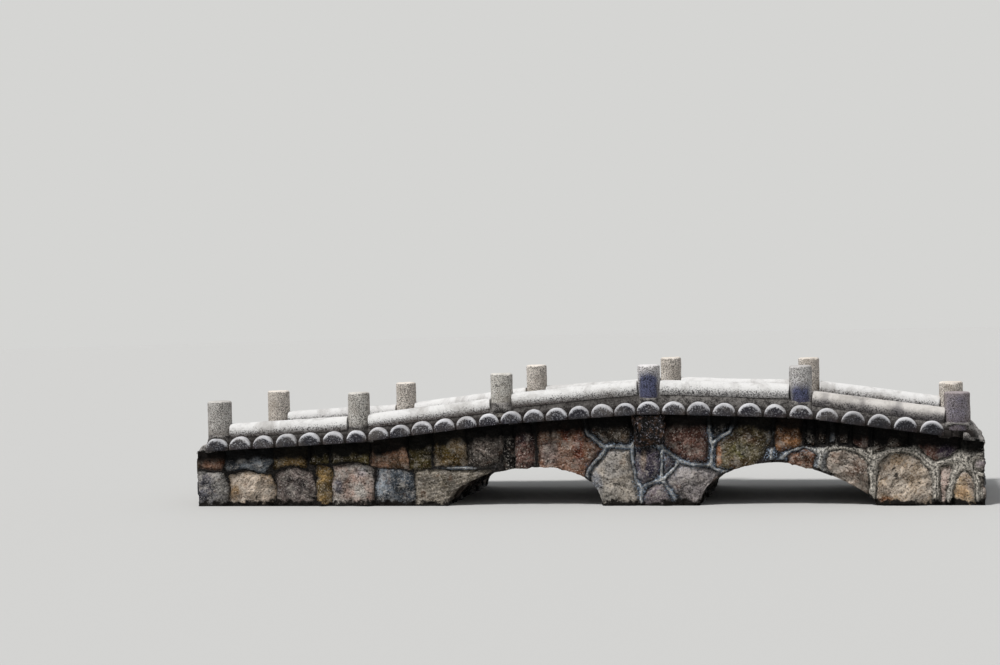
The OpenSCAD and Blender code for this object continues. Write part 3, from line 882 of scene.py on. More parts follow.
class FootbridgeConcrete(bpy.types.PropertyGroup):
    """Tones of the cast logs, curbs and posts"""
    log_dark_tone: bpy.props.StringProperty(
        name="Log dark grains", description="sRGB hex tone of the dark grains of the logs",
        default="#232129")
    log_pale_tone: bpy.props.StringProperty(
        name="Log pale grains", description="sRGB hex tone of the pale grains of the logs",
        default="#d2d1d3")
    curb_dark_tone: bpy.props.StringProperty(
        name="Curb dark grains", description="sRGB hex tone of the dark grains of the curbs",
        default="#3c3a3d")
    curb_pale_tone: bpy.props.StringProperty(
        name="Curb pale grains", description="sRGB hex tone of the pale grains of the curbs",
        default="#e4e2df")
    post_dark_tone: bpy.props.StringProperty(
        name="Post dark grains", description="sRGB hex tone of the dark grains of the posts",
        default="#4a4846")
    post_pale_tone: bpy.props.StringProperty(
        name="Post pale grains", description="sRGB hex tone of the pale grains of the posts",
        default="#cfccc8")


class FootbridgeStage(bpy.types.PropertyGroup):
    """The floor and the light"""
    floor_tone: bpy.props.StringProperty(
        name="Floor tone", description="sRGB hex tone of the floor", default="#c6c5c2")
    key_light: bpy.props.FloatProperty(
        name="Key light", description="Strength of the large soft lamp", default=3.0, min=0.0)
    fill_light: bpy.props.FloatProperty(
        name="Fill light", description="Strength of the light from all round", default=0.42, min=0.0)


# The masonry

# Height of a usual stone on the ends, on the back and in the arches
END_STONE = 0.22
BACK_STONE = 0.25
ARCH_STONE = 0.19


def end_stones():
    """The stones of both end walls, which the ends of the face walls share"""
    rng = np.random.default_rng(5)
    seeds = scatter_stones((-FACE, 0.02), (FACE, 0.5), END_STONE, rng)
    kinds = list(rng.choice(END_KINDS, len(seeds)))
    return seeds, stone_table(kinds, rng)


def end_surface(points, settings):
    """Relief and paint of the ends, from Y and Z, which are turned round at the right end"""
    seeds, table = end_stones()
    flat = np.stack([points[:, 1] * np.where(points[:, 0] > 0, -1, 1), points[:, 2]], axis=1)
    strayed = flat + wander(points, 21, (0.12, 0.04), (0.016, 0.005))
    pattern = scattered_pattern(strayed, seeds, settings.ribbon_width)
    marks = stone_surface(points, flat, pattern, seeds, table, settings, pointed=0.8, broad=0.5)
    # The ends lie back a little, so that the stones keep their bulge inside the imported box
    marks["height"] -= 0.014
    return marks


def face_stones(side):
    """The stones of a face wall: drawn in front, and laid in courses at the back"""
    if side < 0:
        kinds = [stone[0] for stone in FRONT_STONES]
        outlines = [np.array(stone[1:]) / 100 for stone in FRONT_STONES]
        centres = np.array([outline.mean(0) for outline in outlines])
        return kinds, centres, outlines
    rng = np.random.default_rng(11)
    centres = scatter_stones((-HALF_X, 0.03), (HALF_X, 0.72), BACK_STONE, rng)
    return list(rng.choice(BACK_KINDS, len(centres))), centres, None


def face_surface(points, side, settings):
    """Relief and paint of a face wall"""
    kinds, centres, outlines = face_stones(side)
    table = stone_table(kinds, np.random.default_rng(3 if side < 0 else 4))
    x, z = points[:, 0], points[:, 2]
    flat = points[:, [0, 2]]
    strayed = flat + wander(points, 31, (0.11, 0.035), (0.010, 0.005) if side < 0 else (0.020, 0.006))
    if side < 0:
        stone, inside, middle = outline_pattern(strayed, outlines)
        pattern = stone, inside + 0.004 + 0.007 * ease((0.1 - x) / 0.2), middle
        # Ribbons start at the pier. Few are left over the right arch, and one lies on a ledge further
        # left. Towards the right end the joints are broad.
        pointed = 0.12 + 0.88 * ease((x - 0.02) / 0.10)
        bare = ease((x - 1.45) / 0.15) * ease((2.75 - x) / 0.15)
        pointed *= 1 - 0.75 * bare * ease((z - 0.42) / 0.06)
        ledge = ease(1 - np.abs(z - 0.305) / 0.03) * ease(1 - np.abs(x + 0.95) / 0.25)
        pointed = np.maximum(pointed, ledge)
        broad = ease((x - 1.75) / 0.4)
    else:
        pattern = scattered_pattern(strayed, centres, settings.ribbon_width)
        pointed = 0.72
        broad = 0.0
    # The pointing is washed out along the rims of the arches, at both ends and along the foot
    rim = np.interp(x, FOOT_LINE[:, 0], FOOT_LINE[:, 1])
    pointed = pointed * np.where(rim > 0.01, 0.15 + 0.85 * ease((z - rim - 0.012) / 0.04), 1.0)
    pointed = pointed * ease((HALF_X - np.abs(x)) / 0.03) * ease(z / 0.04)
    return stone_surface(points, flat, pattern, centres, table, settings, pointed, broad)


def paint_patches(points, tone):
    """Lays the single stains and streaks over the front stones"""
    for hex_tone, centre, half, strength in FRONT_PATCHES:
        away = (points[:, [0, 2]] * 100 - centre) / half
        reach = np.linalg.norm(away, axis=1) + 0.35 * rough(points, 0.04, 41)
        share = ease(1.45 - reach)[:, None] * strength * (points[:, 1] < 0)[:, None]
        tone = tone * (1 - share) + np.array(linear(hex_tone)[:3]) * share
    return tone


def build_face_wall(context, side):
    """A rubble wall face with its arch rings, ends and thickness, and stones in relief"""
    settings = context.scene.footbridge_masonry
    name = f"{SIDES[side]}_wall"
    spacing = settings.mesh_step if side < 0 else 1.2 * settings.mesh_step
    usual_height = 0.66
    rows = int(usual_height / spacing)
    foot = walk(FOOT_LINE, spacing)
    head = seat(foot[:, 0])
    face = side * FACE
    bm = bmesh.new()

    def place(column, row):
        x = foot[column, 0]
        z = foot[column, 1] + (head[column] - foot[column, 1]) * row / rows
        return np.stack([x, np.full(len(x), face), z], axis=1)

    sheet(bm, len(foot) - 1, rows, place)
    rim = open_edges(bm)
    arris = list({vert for edge in rim for vert in edge.verts
                  if HAIR < vert.co.z < seat(vert.co.x) - HAIR})
    depths = (0.010, 0.028, 0.055, 0.085, 0.120, 0.160, 0.205, FACE - INNER)
    for depth in depths:
        y = face - side * depth
        rim = grow_rim(bm, rim, lambda co, y=y: Vector((co.x, y, co.z)))
    close_rim(bm, rim)
    soften(bm, arris, 2)
    inner = face - side * depths[-1]

    def shown(centres, normals):
        at_top = normals[:, 2] > 0.5
        return ~(at_top | (centres[:, 2] < ON_GROUND) | (np.abs(centres[:, 1] - inner) < HAIR))

    mesh, points, push = closed_mesh(bm, name, shown)
    marks = face_surface(points, side, settings)
    at_end = (np.abs(points[:, 0]) > HALF_X - 0.004) & (np.abs(points[:, 1] - face) > 0.006)
    for mark, end in end_surface(points, settings).items():
        marks[mark] = np.where(at_end if end.ndim == 1 else at_end[:, None], end, marks[mark])
    # Inside the arches the stones stand out less, so that the openings stay as wide as they are
    arch_relief = 0.008
    rim_height = np.interp(points[:, 0], foot[:, 0], foot[:, 1])
    in_arch = (points[:, 2] > 0.004) & (points[:, 2] < rim_height + 0.012) & ~at_end
    height = np.where(in_arch, np.minimum(marks["height"], arch_relief), marks["height"])
    moved = points + push * height[:, None]
    moved[:, 0] = np.clip(moved[:, 0], HAIR - HALF_X, HALF_X - HAIR)
    moved[:, 2] = np.clip(moved[:, 2], 0.0, seat(points[:, 0]))
    moved[:, 2] = np.where(points[:, 2] < ON_GROUND, 0.0, moved[:, 2])
    put_points(mesh, moved)
    # Black stain and painted shadow under the eaves of the deck, and grime that runs down the wall in
    # streaks
    under_deck = points[:, 2] - seat(points[:, 0])
    eaves_stain_and_shade = ease((under_deck + 0.155 + 0.040 * rough(points, 0.10, 51)) / 0.085)
    eaves_stain_and_shade *= np.where(at_end, 0.25, 1.0)
    drips = ease(rough(points * [1, 1, 0.25], 0.07, 52) * 1.6) * ease((under_deck + 0.34) / 0.24)
    grime = np.clip(marks["grime"] + eaves_stain_and_shade + 0.6 * drips, 0, 1.0)
    tint = paint_patches(points, marks["tint"]) if side < 0 else marks["tint"]
    paint_stones(mesh, marks, grime=grime, tint=tint)
    add_piece(mesh, materials(context)["rubble_stone"], "rubble_stone", name)


def build_end_wall(context, way):
    """The rubble wall across one end, between the face walls"""
    settings = context.scene.footbridge_masonry
    name = f"{ENDS[way]}_end_wall"
    low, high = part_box(name)
    inner, outer = (high.x, low.x) if way < 0 else (low.x, high.x)
    columns = int((high.y - low.y) / settings.mesh_step)
    rows = int(high.z / settings.mesh_step)
    bm = bmesh.new()

    def place(column, row):
        y = low.y + (high.y - low.y) * column / columns
        return np.stack([np.full(len(y), outer), y, seat(outer) * row / rows], axis=1)

    sheet(bm, columns, rows, place)
    rim = open_edges(bm)
    for share in (0.15, 1.0):
        x = outer + (inner - outer) * share
        rim = grow_rim(bm, rim, lambda co, x=x: Vector((x, co.y, co.z)))
    close_rim(bm, rim)
    mesh, points, push = closed_mesh(
        bm, name, lambda centres, normals: np.abs(centres[:, 0] - outer) < HAIR)
    marks = end_surface(points, settings)
    moved = points + push * marks["height"][:, None]
    moved[:, 0] = np.clip(moved[:, 0], HAIR - HALF_X, HALF_X - HAIR)
    moved[:, 2] = np.clip(moved[:, 2], 0.0, seat(outer))
    put_points(mesh, moved)
    paint_stones(mesh, marks)
    add_piece(mesh, materials(context)["rubble_stone"], "rubble_stone", name)


def build_arch_lining(context, way):
    """The barrel of one arch between the face walls, with rough stones on its underside"""
    settings = context.scene.footbridge_masonry
    name = f"{ENDS[way]}_arch"
    low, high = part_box(name)
    part = FOOT_LINE[(FOOT_LINE[:, 0] > low.x) & (FOOT_LINE[:, 0] < high.x)]
    step_round = 0.012
    step_through = 0.015
    line = walk(np.vstack([[low.x, 0.0], part, [high.x, 0.0]]), step_round)
    rows = int((high.y - low.y) / step_through)
    bm = bmesh.new()

    def place(column, row):
        y = low.y + (high.y - low.y) * row / rows
        return np.stack([line[column, 0], y, line[column, 1]], axis=1)

    sheet(bm, len(line) - 1, rows, place)
    rim = grow_rim(bm, open_edges(bm), lambda co: Vector((co.x, co.y, seat(co.x) - SLAB_DEPTH)))
    close_rim(bm, rim)
    mesh, points, push = closed_mesh(
        bm, name, lambda centres, normals: (normals[:, 2] < -0.02) & (centres[:, 2] > ON_GROUND))
    rng = np.random.default_rng(8 + way)
    seeds = scatter_stones((low.x, low.y), (high.x + 0.3, high.y), ARCH_STONE, rng)
    table = stone_table(list(rng.choice(ARCH_KINDS, len(seeds))), rng)
    # The barrel is laid out flat, roughly, by adding part of the height to X
    unroll = np.where(points[:, 0] > line[:, 0].mean(), -0.7, 0.7)
    flat = np.stack([points[:, 0] + points[:, 2] * unroll, points[:, 1]], axis=1)
    stray = np.stack([lumps(points, 0.12, 61), lumps(points, 0.12, 62)], axis=1) * 0.016
    pattern = scattered_pattern(flat + stray, seeds, settings.ribbon_width)
    marks = stone_surface(points, flat, pattern, seeds, table, settings, pointed=0.35, broad=0.5)
    arch_relief = 0.010
    moved = points + push * np.minimum(marks["height"], arch_relief)[:, None]
    moved[:, 2] = np.where(points[:, 2] < ON_GROUND, 0.0, np.maximum(moved[:, 2], 0.0))
    put_points(mesh, moved)
    # The barrel is painted darker all over, as painted shade under the arch
    paint_stones(mesh, marks, tint=marks["tint"] * 0.7, grime=0.25 + 0.6 * marks["grime"])
    add_piece(mesh, materials(context)["rubble_stone"], "core_masonry", name)


# The faces where the corbel is broken off: which way each looks, and how far out it lies
CORBEL_BREAKS = (((-1.0, 0.7, -0.5), 0.118), ((1.0, 0.5, -0.9), 0.125), ((0.4, 1.0, -0.8), 0.085),
                 ((-0.5, 1.0, 0.3), 0.092), ((0.9, 0.6, 0.6), 0.128))


def build_corbel(context, side):
    """The rough block under the crest post, undercut towards the wall"""
    name = f"corbel_{SIDES[side]}"
    low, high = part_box(name)
    size = high - low
    # It is drawn in towards its foot, from this share of its height down, and rooted in the wall
    undercut_top = 0.34
    undercut = 0.55
    root = 0.02
    bm = bmesh.new()
    bmesh.ops.create_cube(bm, size=1.0)
    bmesh.ops.subdivide_edges(bm, edges=bm.edges[:], cuts=26, use_grid_fill=True)
    for vert in bm.verts:
        drop = min(max((undercut_top - vert.co.z - 0.5) / undercut_top, 0), 1)
        out = (vert.co.y * side + 0.5) * (1 - undercut * drop)
        vert.co = Vector((low.x + size.x * (vert.co.x + 0.5),
                          side * (FACE + out * size.y - root * (1 - out)),
                          low.z + size.z * (vert.co.z + 0.5)))
    soften(bm, bm.verts, 5)
    mesh, points, push = closed_mesh(bm, name)
    height = -0.002 + 0.034 * rough(points, 0.13, 71) + 0.011 * rough(points, 0.035, 72)
    height -= 0.016 * ease((lumps(points, 0.09, 73) - 0.05) / 0.12)
    moved = points + push * height[:, None]
    middle = np.array((low + high) / 2)
    for lean, reach in CORBEL_BREAKS:
        broken = np.array((lean[0], lean[1] * side, lean[2])) / math.hypot(*lean)
        moved -= np.maximum((moved - middle) @ broken - reach, 0)[:, None] * broken
    moved[:, 1] = np.clip(moved[:, 1], 2 * HAIR - LOG_END, LOG_END - 2 * HAIR)
    moved[:, 2] = np.minimum(moved[:, 2], seat(points[:, 0]) - HAIR)
    put_points(mesh, moved)
    add_piece(mesh, materials(context)["dark_stone"], "dark_stone", name)


# The deck

def make_log(x, room, rng):
    """One half-round cast log across the bridge, with worn ends and a lumpy skin"""
    last_log_short = 0.090
    beside_end_post = x > POST_X[-1] - 0.01
    radius = min(1.10 * LOG_RADIUS, room / 2 + 0.002) * rng.uniform(0.94, 1.02)
    reach = LOG_END - rng.uniform(0.0, 0.012) - last_log_short * beside_end_post
    axis = LOG_HEIGHT - LOG_RADIUS
    wear = 0.86 * LOG_WORN_END
    outline = [(0.0, -reach), (0.022, -reach), (radius - wear, -reach + 0.003)]
    outline += [(radius - wear * (1 - math.sin(a)), -reach + 0.9 * wear * (1 - 0.93 * math.cos(a)))
                for a in (0.3, 0.6, 0.9, 1.2, math.pi / 2)]
    # The rings of points lie closest at the ends, where the log shows
    along = outline[-1][1]
    for k in range(15):
        step = 0.013 * 1.16 ** k
        if along + step < -0.02:
            along += step
            outline.append((radius, along))
    outline += [(r, -y) for r, y in reversed(outline)]
    bm = bmesh.new()
    draw_profile(bm, [(r, y, 0) for r, y in outline])
    spin_profile(bm, (0, 1, 0), 30)
    cut_level(bm, -axis)
    lean = Matrix.Rotation(-tilt(x), 4, "Y")
    spot = Matrix.Translation((x, 0, seat(x)))
    bmesh.ops.transform(bm, matrix=spot @ lean @ Matrix.Translation((0, 0, axis)), verts=bm.verts)
    mesh, points, push = closed_mesh(bm, "log", not_foot)
    swell = 0.0042 * rough(points, 0.07, rng.integers(999), 2)
    height = swell + 0.0016 * rough(points, 0.022, 3, 2) - 0.0035
    moved = points + push * height[:, None]
    moved[:, 1] = np.clip(moved[:, 1], -LOG_END, LOG_END)
    put_points(mesh, moved)
    out = np.abs(points[:, 1])
    over = points[:, 2] - seat(x)
    face = ease((out - LOG_END + 0.030) / 0.03)
    low = ease(1 - over / 0.045)
    walked_to = 0.74
    gutter_line = 0.885
    walked = ease((walked_to - out) / 0.06)[:, None]
    tread = np.array((0.80, 0.78, 0.75)) * rng.uniform(0.90, 1.08)
    shaded = 1 - 0.75 * float(ease((x - 1.9) / 0.3)) * face[:, None] * (points[:, 1] < 0)[:, None]
    paint(mesh, "tint", (rng.uniform(0.92, 1.06) * (1 - walked) + tread * walked) * shaded)
    paint(mesh, "worn", walked[:, 0])
    # The end faces are painted dark blue-grey, as damp and painted shade, more so near the foot
    paint(mesh, "damp_and_shade", face * (0.45 + 0.25 * low))
    gutter = ease(1 - np.abs(out - gutter_line) / 0.04) * ease(1 - over / 0.115)
    trodden = ease(1 - over / 0.085) * walked[:, 0]
    # Painted shade along the foot of each log away from its end, dirt where people walk, and dirt in the
    # gutters on the left
    grime = 0.55 * low * (1 - face) + 0.6 * trodden + 0.5 * gutter * (x < 0.5)
    paint(mesh, "grime", np.clip(grime, 0, 0.9))
    return mesh


def build_deck_logs(context, bay):
    """The logs of one bay"""
    rng = np.random.default_rng(100 + bay)
    name = f"deck_logs_{bay}"
    lines = LOG_LINES[bay - 1]
    room = (lines[-1] - lines[0]) / (len(lines) - 1)
    mesh = join_meshes([make_log(x, room, rng) for x in lines], name)
    add_piece(mesh, materials(context)["log_concrete"], "log_concrete", name)


def plan_block(name, xs, ys, top, bottom, size, seed):
    """A block drawn in plan, with a rough top at top(x, y) and rough sides down to bottom(x)"""
    columns = max(2, int((xs[1] - xs[0]) / size))
    rows = max(2, int((ys[1] - ys[0]) / size))
    bm = bmesh.new()

    def place(column, row):
        x = xs[0] + (xs[1] - xs[0]) * column / columns
        y = ys[0] + (ys[1] - ys[0]) * row / rows
        return np.stack([x, y, top(x, y)], axis=1)

    sheet(bm, columns, rows, place)
    rim = open_edges(bm)
    for share in (0.4, 1.0):
        rim = grow_rim(bm, rim, lambda co, share=share: Vector((
            co.x, co.y, co.z + (bottom(co.x) - co.z) * share)))
    close_rim(bm, rim)
    mesh, points, push = closed_mesh(bm, name, not_foot)
    height = 0.005 * rough(points, 0.05, seed) + 0.002 * rough(points, 0.015, seed + 1, 2)
    put_points(mesh, points + push * height[:, None])
    return mesh


def valley(x0, x1, seed):
    """The mortar packed between two logs"""
    middle = (x0 + x1) / 2
    half = (x1 - x0) / 2

    def top(x, y):
        meniscus = 0.010 * ((x - middle) / half) ** 2
        worn = 0.026 * ease((np.abs(y) - MORTAR_END + 0.06) / 0.05)
        return seat(x) + MORTAR_HEIGHT - 0.004 + meniscus - worn

    inset = LOG_RADIUS - 0.036
    end = MORTAR_END - 0.014
    return plan_block("valley", (x0 + inset, x1 - inset), (-end, end), top, seat, 0.016, seed)


def curb_line(bay, side):
    """The axis of a packed curb, as the X and Z of its two ends"""
    points = points_of(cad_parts[f"curb_{SIDES[side]}_{bay}"].data)
    crown = points[np.abs(points[:, 1] - side * POST_Y) < 0.01]
    crown = crown[crown[:, 2] > seat(crown[:, 0]) + CURB_AXIS][:, [0, 2]] - [0, CURB_RADIUS]
    return crown[crown[:, 0].argmin()], crown[crown[:, 0].argmax()]


def curb_bedding(bay, side):
    """The ridge of mortar that a curb lies in, which is higher where the curb is"""
    start, end = curb_line(bay, side)
    y0 = side * POST_Y

    def top(x, y):
        off = np.abs(y - y0)
        axis = np.interp(x, (start[0], end[0]), (start[1], end[1]))
        return axis - 0.029 - 0.055 * ease((off - 0.038) / 0.024)

    return plan_block("bedding", (start[0] - 0.03, end[0] + 0.03), (y0 - 0.064, y0 + 0.064), top,
                      lambda x: seat(x) + 0.02, 0.011, 80 + bay)


# How far the mortar at the foot of each post spreads and climbs, from left to right
SKIRTS = ((0.016, 0.125), (0.018, 0.130), (0.036, 0.172), (0.012, 0.128), (0.012, 0.128), (0.040, 0.120))


def post_skirt(index, side):
    """The mortar trowelled up round the foot of a post"""
    x = POST_X[index]
    radius = POST_RADIUS[index]
    spread, climb = SKIRTS[index]
    base = seat(x)
    outline = [(radius - 0.02, 0.0), (radius + spread * 1.2, 0.0), (radius + spread * 1.1, 0.05),
               (radius + spread * 0.75, 0.6 * climb), (radius + spread * 0.35, climb * 0.85),
               (radius + 0.004, climb), (radius - 0.014, climb + 0.004)]
    bm = bmesh.new()
    edges = draw_profile(bm, [(r, 0, z) for r, z in outline], closed=True)
    bmesh.ops.subdivide_edges(bm, edges=edges[1:5], cuts=1)
    spin_profile(bm, (0, 0, 1), 44)
    bmesh.ops.translate(bm, verts=bm.verts, vec=(x, side * POST_Y, base))
    mesh, points, push = closed_mesh(bm, "skirt")
    height = 0.015 * rough(points, 0.075, 90 + index) + 0.005 * rough(points, 0.025, 91, 2)
    moved = points + push * height[:, None]
    # Below the tops of the logs it keeps well inside their ends, and above them it may spread further
    limit = 0.895 + 0.045 * ease((points[:, 2] - base - LOG_RADIUS) / 0.025)
    moved[:, 1] = np.clip(moved[:, 1], -limit, limit)
    put_points(mesh, moved)
    return mesh


def slab(bay):
    """The plain slab under the logs of a bay, between the face walls"""
    low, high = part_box(f"deck_bed_{bay}")
    inside = [x for x in SEAT_LINE[:, 0] if low.x + HAIR < x < high.x - HAIR]
    xs = np.array([low.x] + inside + [high.x])
    bm = bmesh.new()

    def place(column, row):
        return np.stack([xs[column], np.full(len(column), HAIR - INNER),
                         seat(xs[column]) - SLAB_DEPTH * (1 - row) - HAIR], axis=1)

    sheet(bm, len(xs) - 1, 1, place)
    rim = grow_rim(bm, open_edges(bm), lambda co: Vector((co.x, INNER - HAIR, co.z)))
    close_rim(bm, rim)
    seal(bm)
    return to_mesh(bm, "slab")


def build_deck_bed(context, bay):
    """The slab, the mortar between the logs, the curb bedding and the skirts of the posts"""
    name = f"deck_bed_{bay}"
    lines = sorted(LOG_LINES[bay - 1] + LOG_LINES[min(bay, BAYS - 1)][:1] * (bay < BAYS))
    parts = [slab(bay)]
    parts += [valley(a, b, 200 + 10 * bay + k) for k, (a, b) in enumerate(zip(lines, lines[1:]))]
    parts += [curb_bedding(bay, side) for side in SIDES]
    # Each bay has the skirts of its left posts, and the last bay those of its right posts as well
    for index in range(bay - 1, bay + (bay == BAYS)):
        parts += [post_skirt(index, side) for side in SIDES]
    mesh = join_meshes(parts, name)
    points = points_of(mesh)
    out = np.abs(points[:, 1])
    over = points[:, 2] - seat(points[:, 0])
    # Dirt lies where people walk and in the gutters outside the curbs, and painted shade lies low between
    # the ends of the logs
    walked_to = 0.70
    gutter_line = 0.87
    walked = ease(1 - (out - walked_to) / 0.05)
    gutter = ease(1 - np.abs(out - gutter_line) / 0.05)
    left = 0.45 + 0.40 * ease((0.9 - points[:, 0]) / 0.5)
    recess_shade = ease((out - gutter_line) / 0.03) * ease((0.085 - over) / 0.03)
    paint(mesh, "grime", np.clip(0.6 * walked * ease(1 - over / 0.10) + gutter * left + recess_shade, 0, 1.1))
    add_piece(mesh, materials(context)["mortar"], "mortar", name)


def build_sill(context, way):
    """The mortared sill that closes the deck at its end, with its rough apron"""
    name = f"sill_{ENDS[way]}"
    low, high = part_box(name)
    past_post = 0.07
    edge = POST_X[-1] + past_post

    def top(x, y):
        fall = ease((np.abs(x) - edge) / (HALF_X - edge))
        worn = 0.036 * ease((np.abs(y) - high.y + 0.065) / 0.065) ** 2
        worn = worn + 0.025 * ease((np.abs(x) - HALF_X + 0.03) / 0.03)
        spots = np.stack([x, y, x * 0], axis=1)
        return seat(x) + MORTAR_HEIGHT - 0.030 * fall - worn + 0.016 * rough(spots, 0.10, 14)

    xs = (edge - 0.03, HALF_X - 0.004) if way > 0 else (0.004 - HALF_X, 0.03 - edge)
    mesh = plan_block(name, xs, (low.y + 0.006, high.y - 0.006), top, lambda x: seat(x) - 0.012, 0.013,
                      95 + way)
    points = points_of(mesh)
    beyond = ease((np.abs(points[:, 0]) - POST_X[-1] - past_post) / 0.08)
    points[:, 1] *= 1 - (1 - (FACE + 0.004) / high.y) * beyond
    above_seat = ease((points[:, 2] - seat(points[:, 0]) + 0.01) / 0.03)
    crumbled = (0.012 + 0.020 * rough(points, 0.09, 17)) * above_seat
    points[:, 0] -= way * np.clip(crumbled, 0, 0.04) * beyond
    points[:, 0] = np.clip(points[:, 0], -HALF_X, HALF_X)
    put_points(mesh, points)
    paint(mesh, "grime", np.clip(0.35 * rough(points, 0.1, 15) - 0.1, 0, 1))
    add_piece(mesh, materials(context)["mortar"], "mortar", name)


# Curbs and posts

def build_curb(context, bay, side):
    """One log curb from post to post, slightly bent and lying flat in its mortar"""
    name = f"curb_{SIDES[side]}_{bay}"
    rng = np.random.default_rng(300 + 10 * bay + side)
    start, end = curb_line(bay, side)
    slope = math.atan2(end[1] - start[1], end[0] - start[0])
    middle = ((start[0] + end[0]) / 2, side * POST_Y, (start[1] + end[1]) / 2)
    length = (end[0] - start[0]) / math.cos(slope) + 0.006
    end_round = 0.005
    outline = [(0, 0), (0, CURB_RADIUS - end_round), (0.3 * end_round, CURB_RADIUS - 0.3 * end_round),
               (end_round, CURB_RADIUS)]
    outline += [(length - x, z) for x, z in reversed(outline)]
    bm = bmesh.new()
    edges = draw_profile(bm, [(x - length / 2, 0, z) for x, z in outline])
    bmesh.ops.subdivide_edges(bm, edges=[edges[3]], cuts=70)
    bmesh.ops.subdivide_edges(bm, edges=[edges[0], edges[-1]], cuts=3)
    spin_profile(bm, (1, 0, 0), 36)
    cut_level(bm, -CURB_FLAT)
    place = Matrix.Translation(middle) @ Matrix.Rotation(-slope, 4, "Y")
    bmesh.ops.transform(bm, matrix=place, verts=bm.verts)
    mesh, points, push = closed_mesh(bm, name, not_foot)
    height = 0.0022 * rough(points, 0.10, bay, 2) + 0.0011 * rough(points, 0.025, 6, 2) - 0.0015
    moved = points + push * height[:, None]
    bend = 0.003
    along = np.stack([points[:, 0], np.zeros(len(points)), np.full(len(points), bay * 3.0)], axis=1)
    moved[:, 1] += bend * lumps(along, 0.4, bay + 7 * side)
    moved[:, 2] += bend * lumps(along, 0.35, bay + 5 * side + 20)
    put_points(mesh, moved)
    over = points[:, 2] - np.interp(points[:, 0], (start[0], end[0]), (start[1], end[1]))
    low = ease(1 - (over + CURB_FLAT) / 0.05)
    left = ease((0.4 - points[:, 0]) / 0.6)
    half_buried = side < 0 and bay == BAYS
    tint = np.full((len(points), 3), rng.uniform(0.94, 1.04))
    if half_buried:
        tint *= (0.86, 0.83, 0.80)
    paint(mesh, "tint", tint)
    lower = ease(1 - (over + 0.01) / 0.06)
    stained = (0.45 * lower + 0.5 * ease(rough(points, 0.11, 16) * 1.5)) * half_buried
    # Damp stains and painted shade along the underside, with more stains on the half-buried curb
    paint(mesh, "damp_and_shade", 0.20 * low + stained)
    # Painted shade along the underside, with dirt along it in the bays on the left
    paint(mesh, "grime", np.clip(0.55 * low * left + 0.10 * low, 0, 0.8))
    add_piece(mesh, materials(context)["curb_concrete"], "curb_concrete", name)


# Tone of each post against the usual one, from left to right, how strongly its front is painted with damp
# and shade, and how far up
FRONT_POSTS = (((1.00, 0.98, 0.95), 0.0, 0.95), ((1.10, 1.08, 1.03), 0.0, 0.95),
               ((1.18, 1.16, 1.10), 0.0, 0.95), ((1.28, 1.27, 1.30), 1.25, 0.95),
               ((1.12, 1.12, 1.13), 1.10, 0.72), ((0.74, 0.67, 0.70), 0.40, 1.1))
BACK_POST = (1.46, 1.38, 1.28), 0.0, 0.95


def build_post(context, index, side):
    """One round cast post, with a worn top edge and its grains washed out"""
    name = f"post_{SIDES[side]}_{index + 1}"
    x = POST_X[index]
    y = side * POST_Y
    radius = POST_RADIUS[index]
    sunk_foot = 0.055
    base = float(seat(x)) + sunk_foot
    top = POST_TOP[index]
    rounding = 0.020
    worn_rim = 0.03
    outline = [(0, base), (radius, base), (radius, top - rounding)]
    outline += [(radius - rounding * (1 - math.cos(a)), top - rounding * (1 - math.sin(a)))
                for a in (0.4, 0.8, 1.2, math.pi / 2)]
    outline += [(radius * 0.45, top), (0, top)]
    bm = bmesh.new()
    edges = draw_profile(bm, [(r, 0, z) for r, z in outline])
    bmesh.ops.subdivide_edges(bm, edges=[edges[1]], cuts=30)
    bmesh.ops.subdivide_edges(bm, edges=[edges[-2], edges[-1]], cuts=2)
    spin_profile(bm, (0, 0, 1), 48)
    bmesh.ops.translate(bm, verts=bm.verts, vec=(x, y, 0))
    mesh, points, push = closed_mesh(bm, name, not_foot)
    rng = np.random.default_rng(400 + 10 * index + side)
    shift = points + rng.uniform(0, 9, 3)
    from_axis = np.linalg.norm(points[:, :2] - [x, y], axis=1)
    rim = np.exp(-(((top - points[:, 2]) / worn_rim) ** 2))
    rim = rim * ease((from_axis - radius + worn_rim) / worn_rim)
    height = 0.0022 * rough(shift, 0.08, 1, 2) + 0.0015 * rough(shift, 0.02, 2, 2) - 0.0015
    height -= 0.010 * rim * ease(rough(shift, 0.05, 3) * 1.6)
    moved = points + push * height[:, None]
    moved[:, 2] = np.minimum(moved[:, 2], top)
    put_points(mesh, moved)
    tone, damp_and_shade, damp_and_shade_top = FRONT_POSTS[index] if side < 0 else BACK_POST
    tone = np.array(tone) * rng.uniform(0.97, 1.03)
    # The front face is painted dark and blue as damp and painted shade, up to a share of its height
    facing = ease(((points[:, 1] - y) * side / radius - 0.25) / 0.75)
    share = ease((damp_and_shade_top - (points[:, 2] - base) / (top - base)) / 0.35)
    paint(mesh, "tint", np.tile(tone, (len(points), 1)))
    paint(mesh, "damp_and_shade", damp_and_shade * facing * share)
    paint(mesh, "grime", 0.35 * ease(1 - (points[:, 2] - base - 0.05) / 0.08))
    add_piece(mesh, materials(context)["post_concrete"], "post_concrete", name)


# The stage

FLOOR_RADIUS = 60.0

# How high the lamp stands and how far round from the front, and the width of its disc, in degrees
LAMP_RISE = 57
LAMP_SWING = -42
LAMP_DISC = 12
LAMP_TARGET = Vector((0.2, 0.0, 0.5))
LAMP_DISTANCE = 12.0

# The camera: its place, its angles in degrees, and its sensor and lens in millimetres
CAMERA_PLACE = (2.511, -16.727, 1.744)
CAMERA_TURN = 11.08
CAMERA_DROP = 1.19
CAMERA_ROLL = -1.28
CAMERA_SENSOR = 36.0
CAMERA_LENS = 72.0
CAMERA_REACH = 200.0


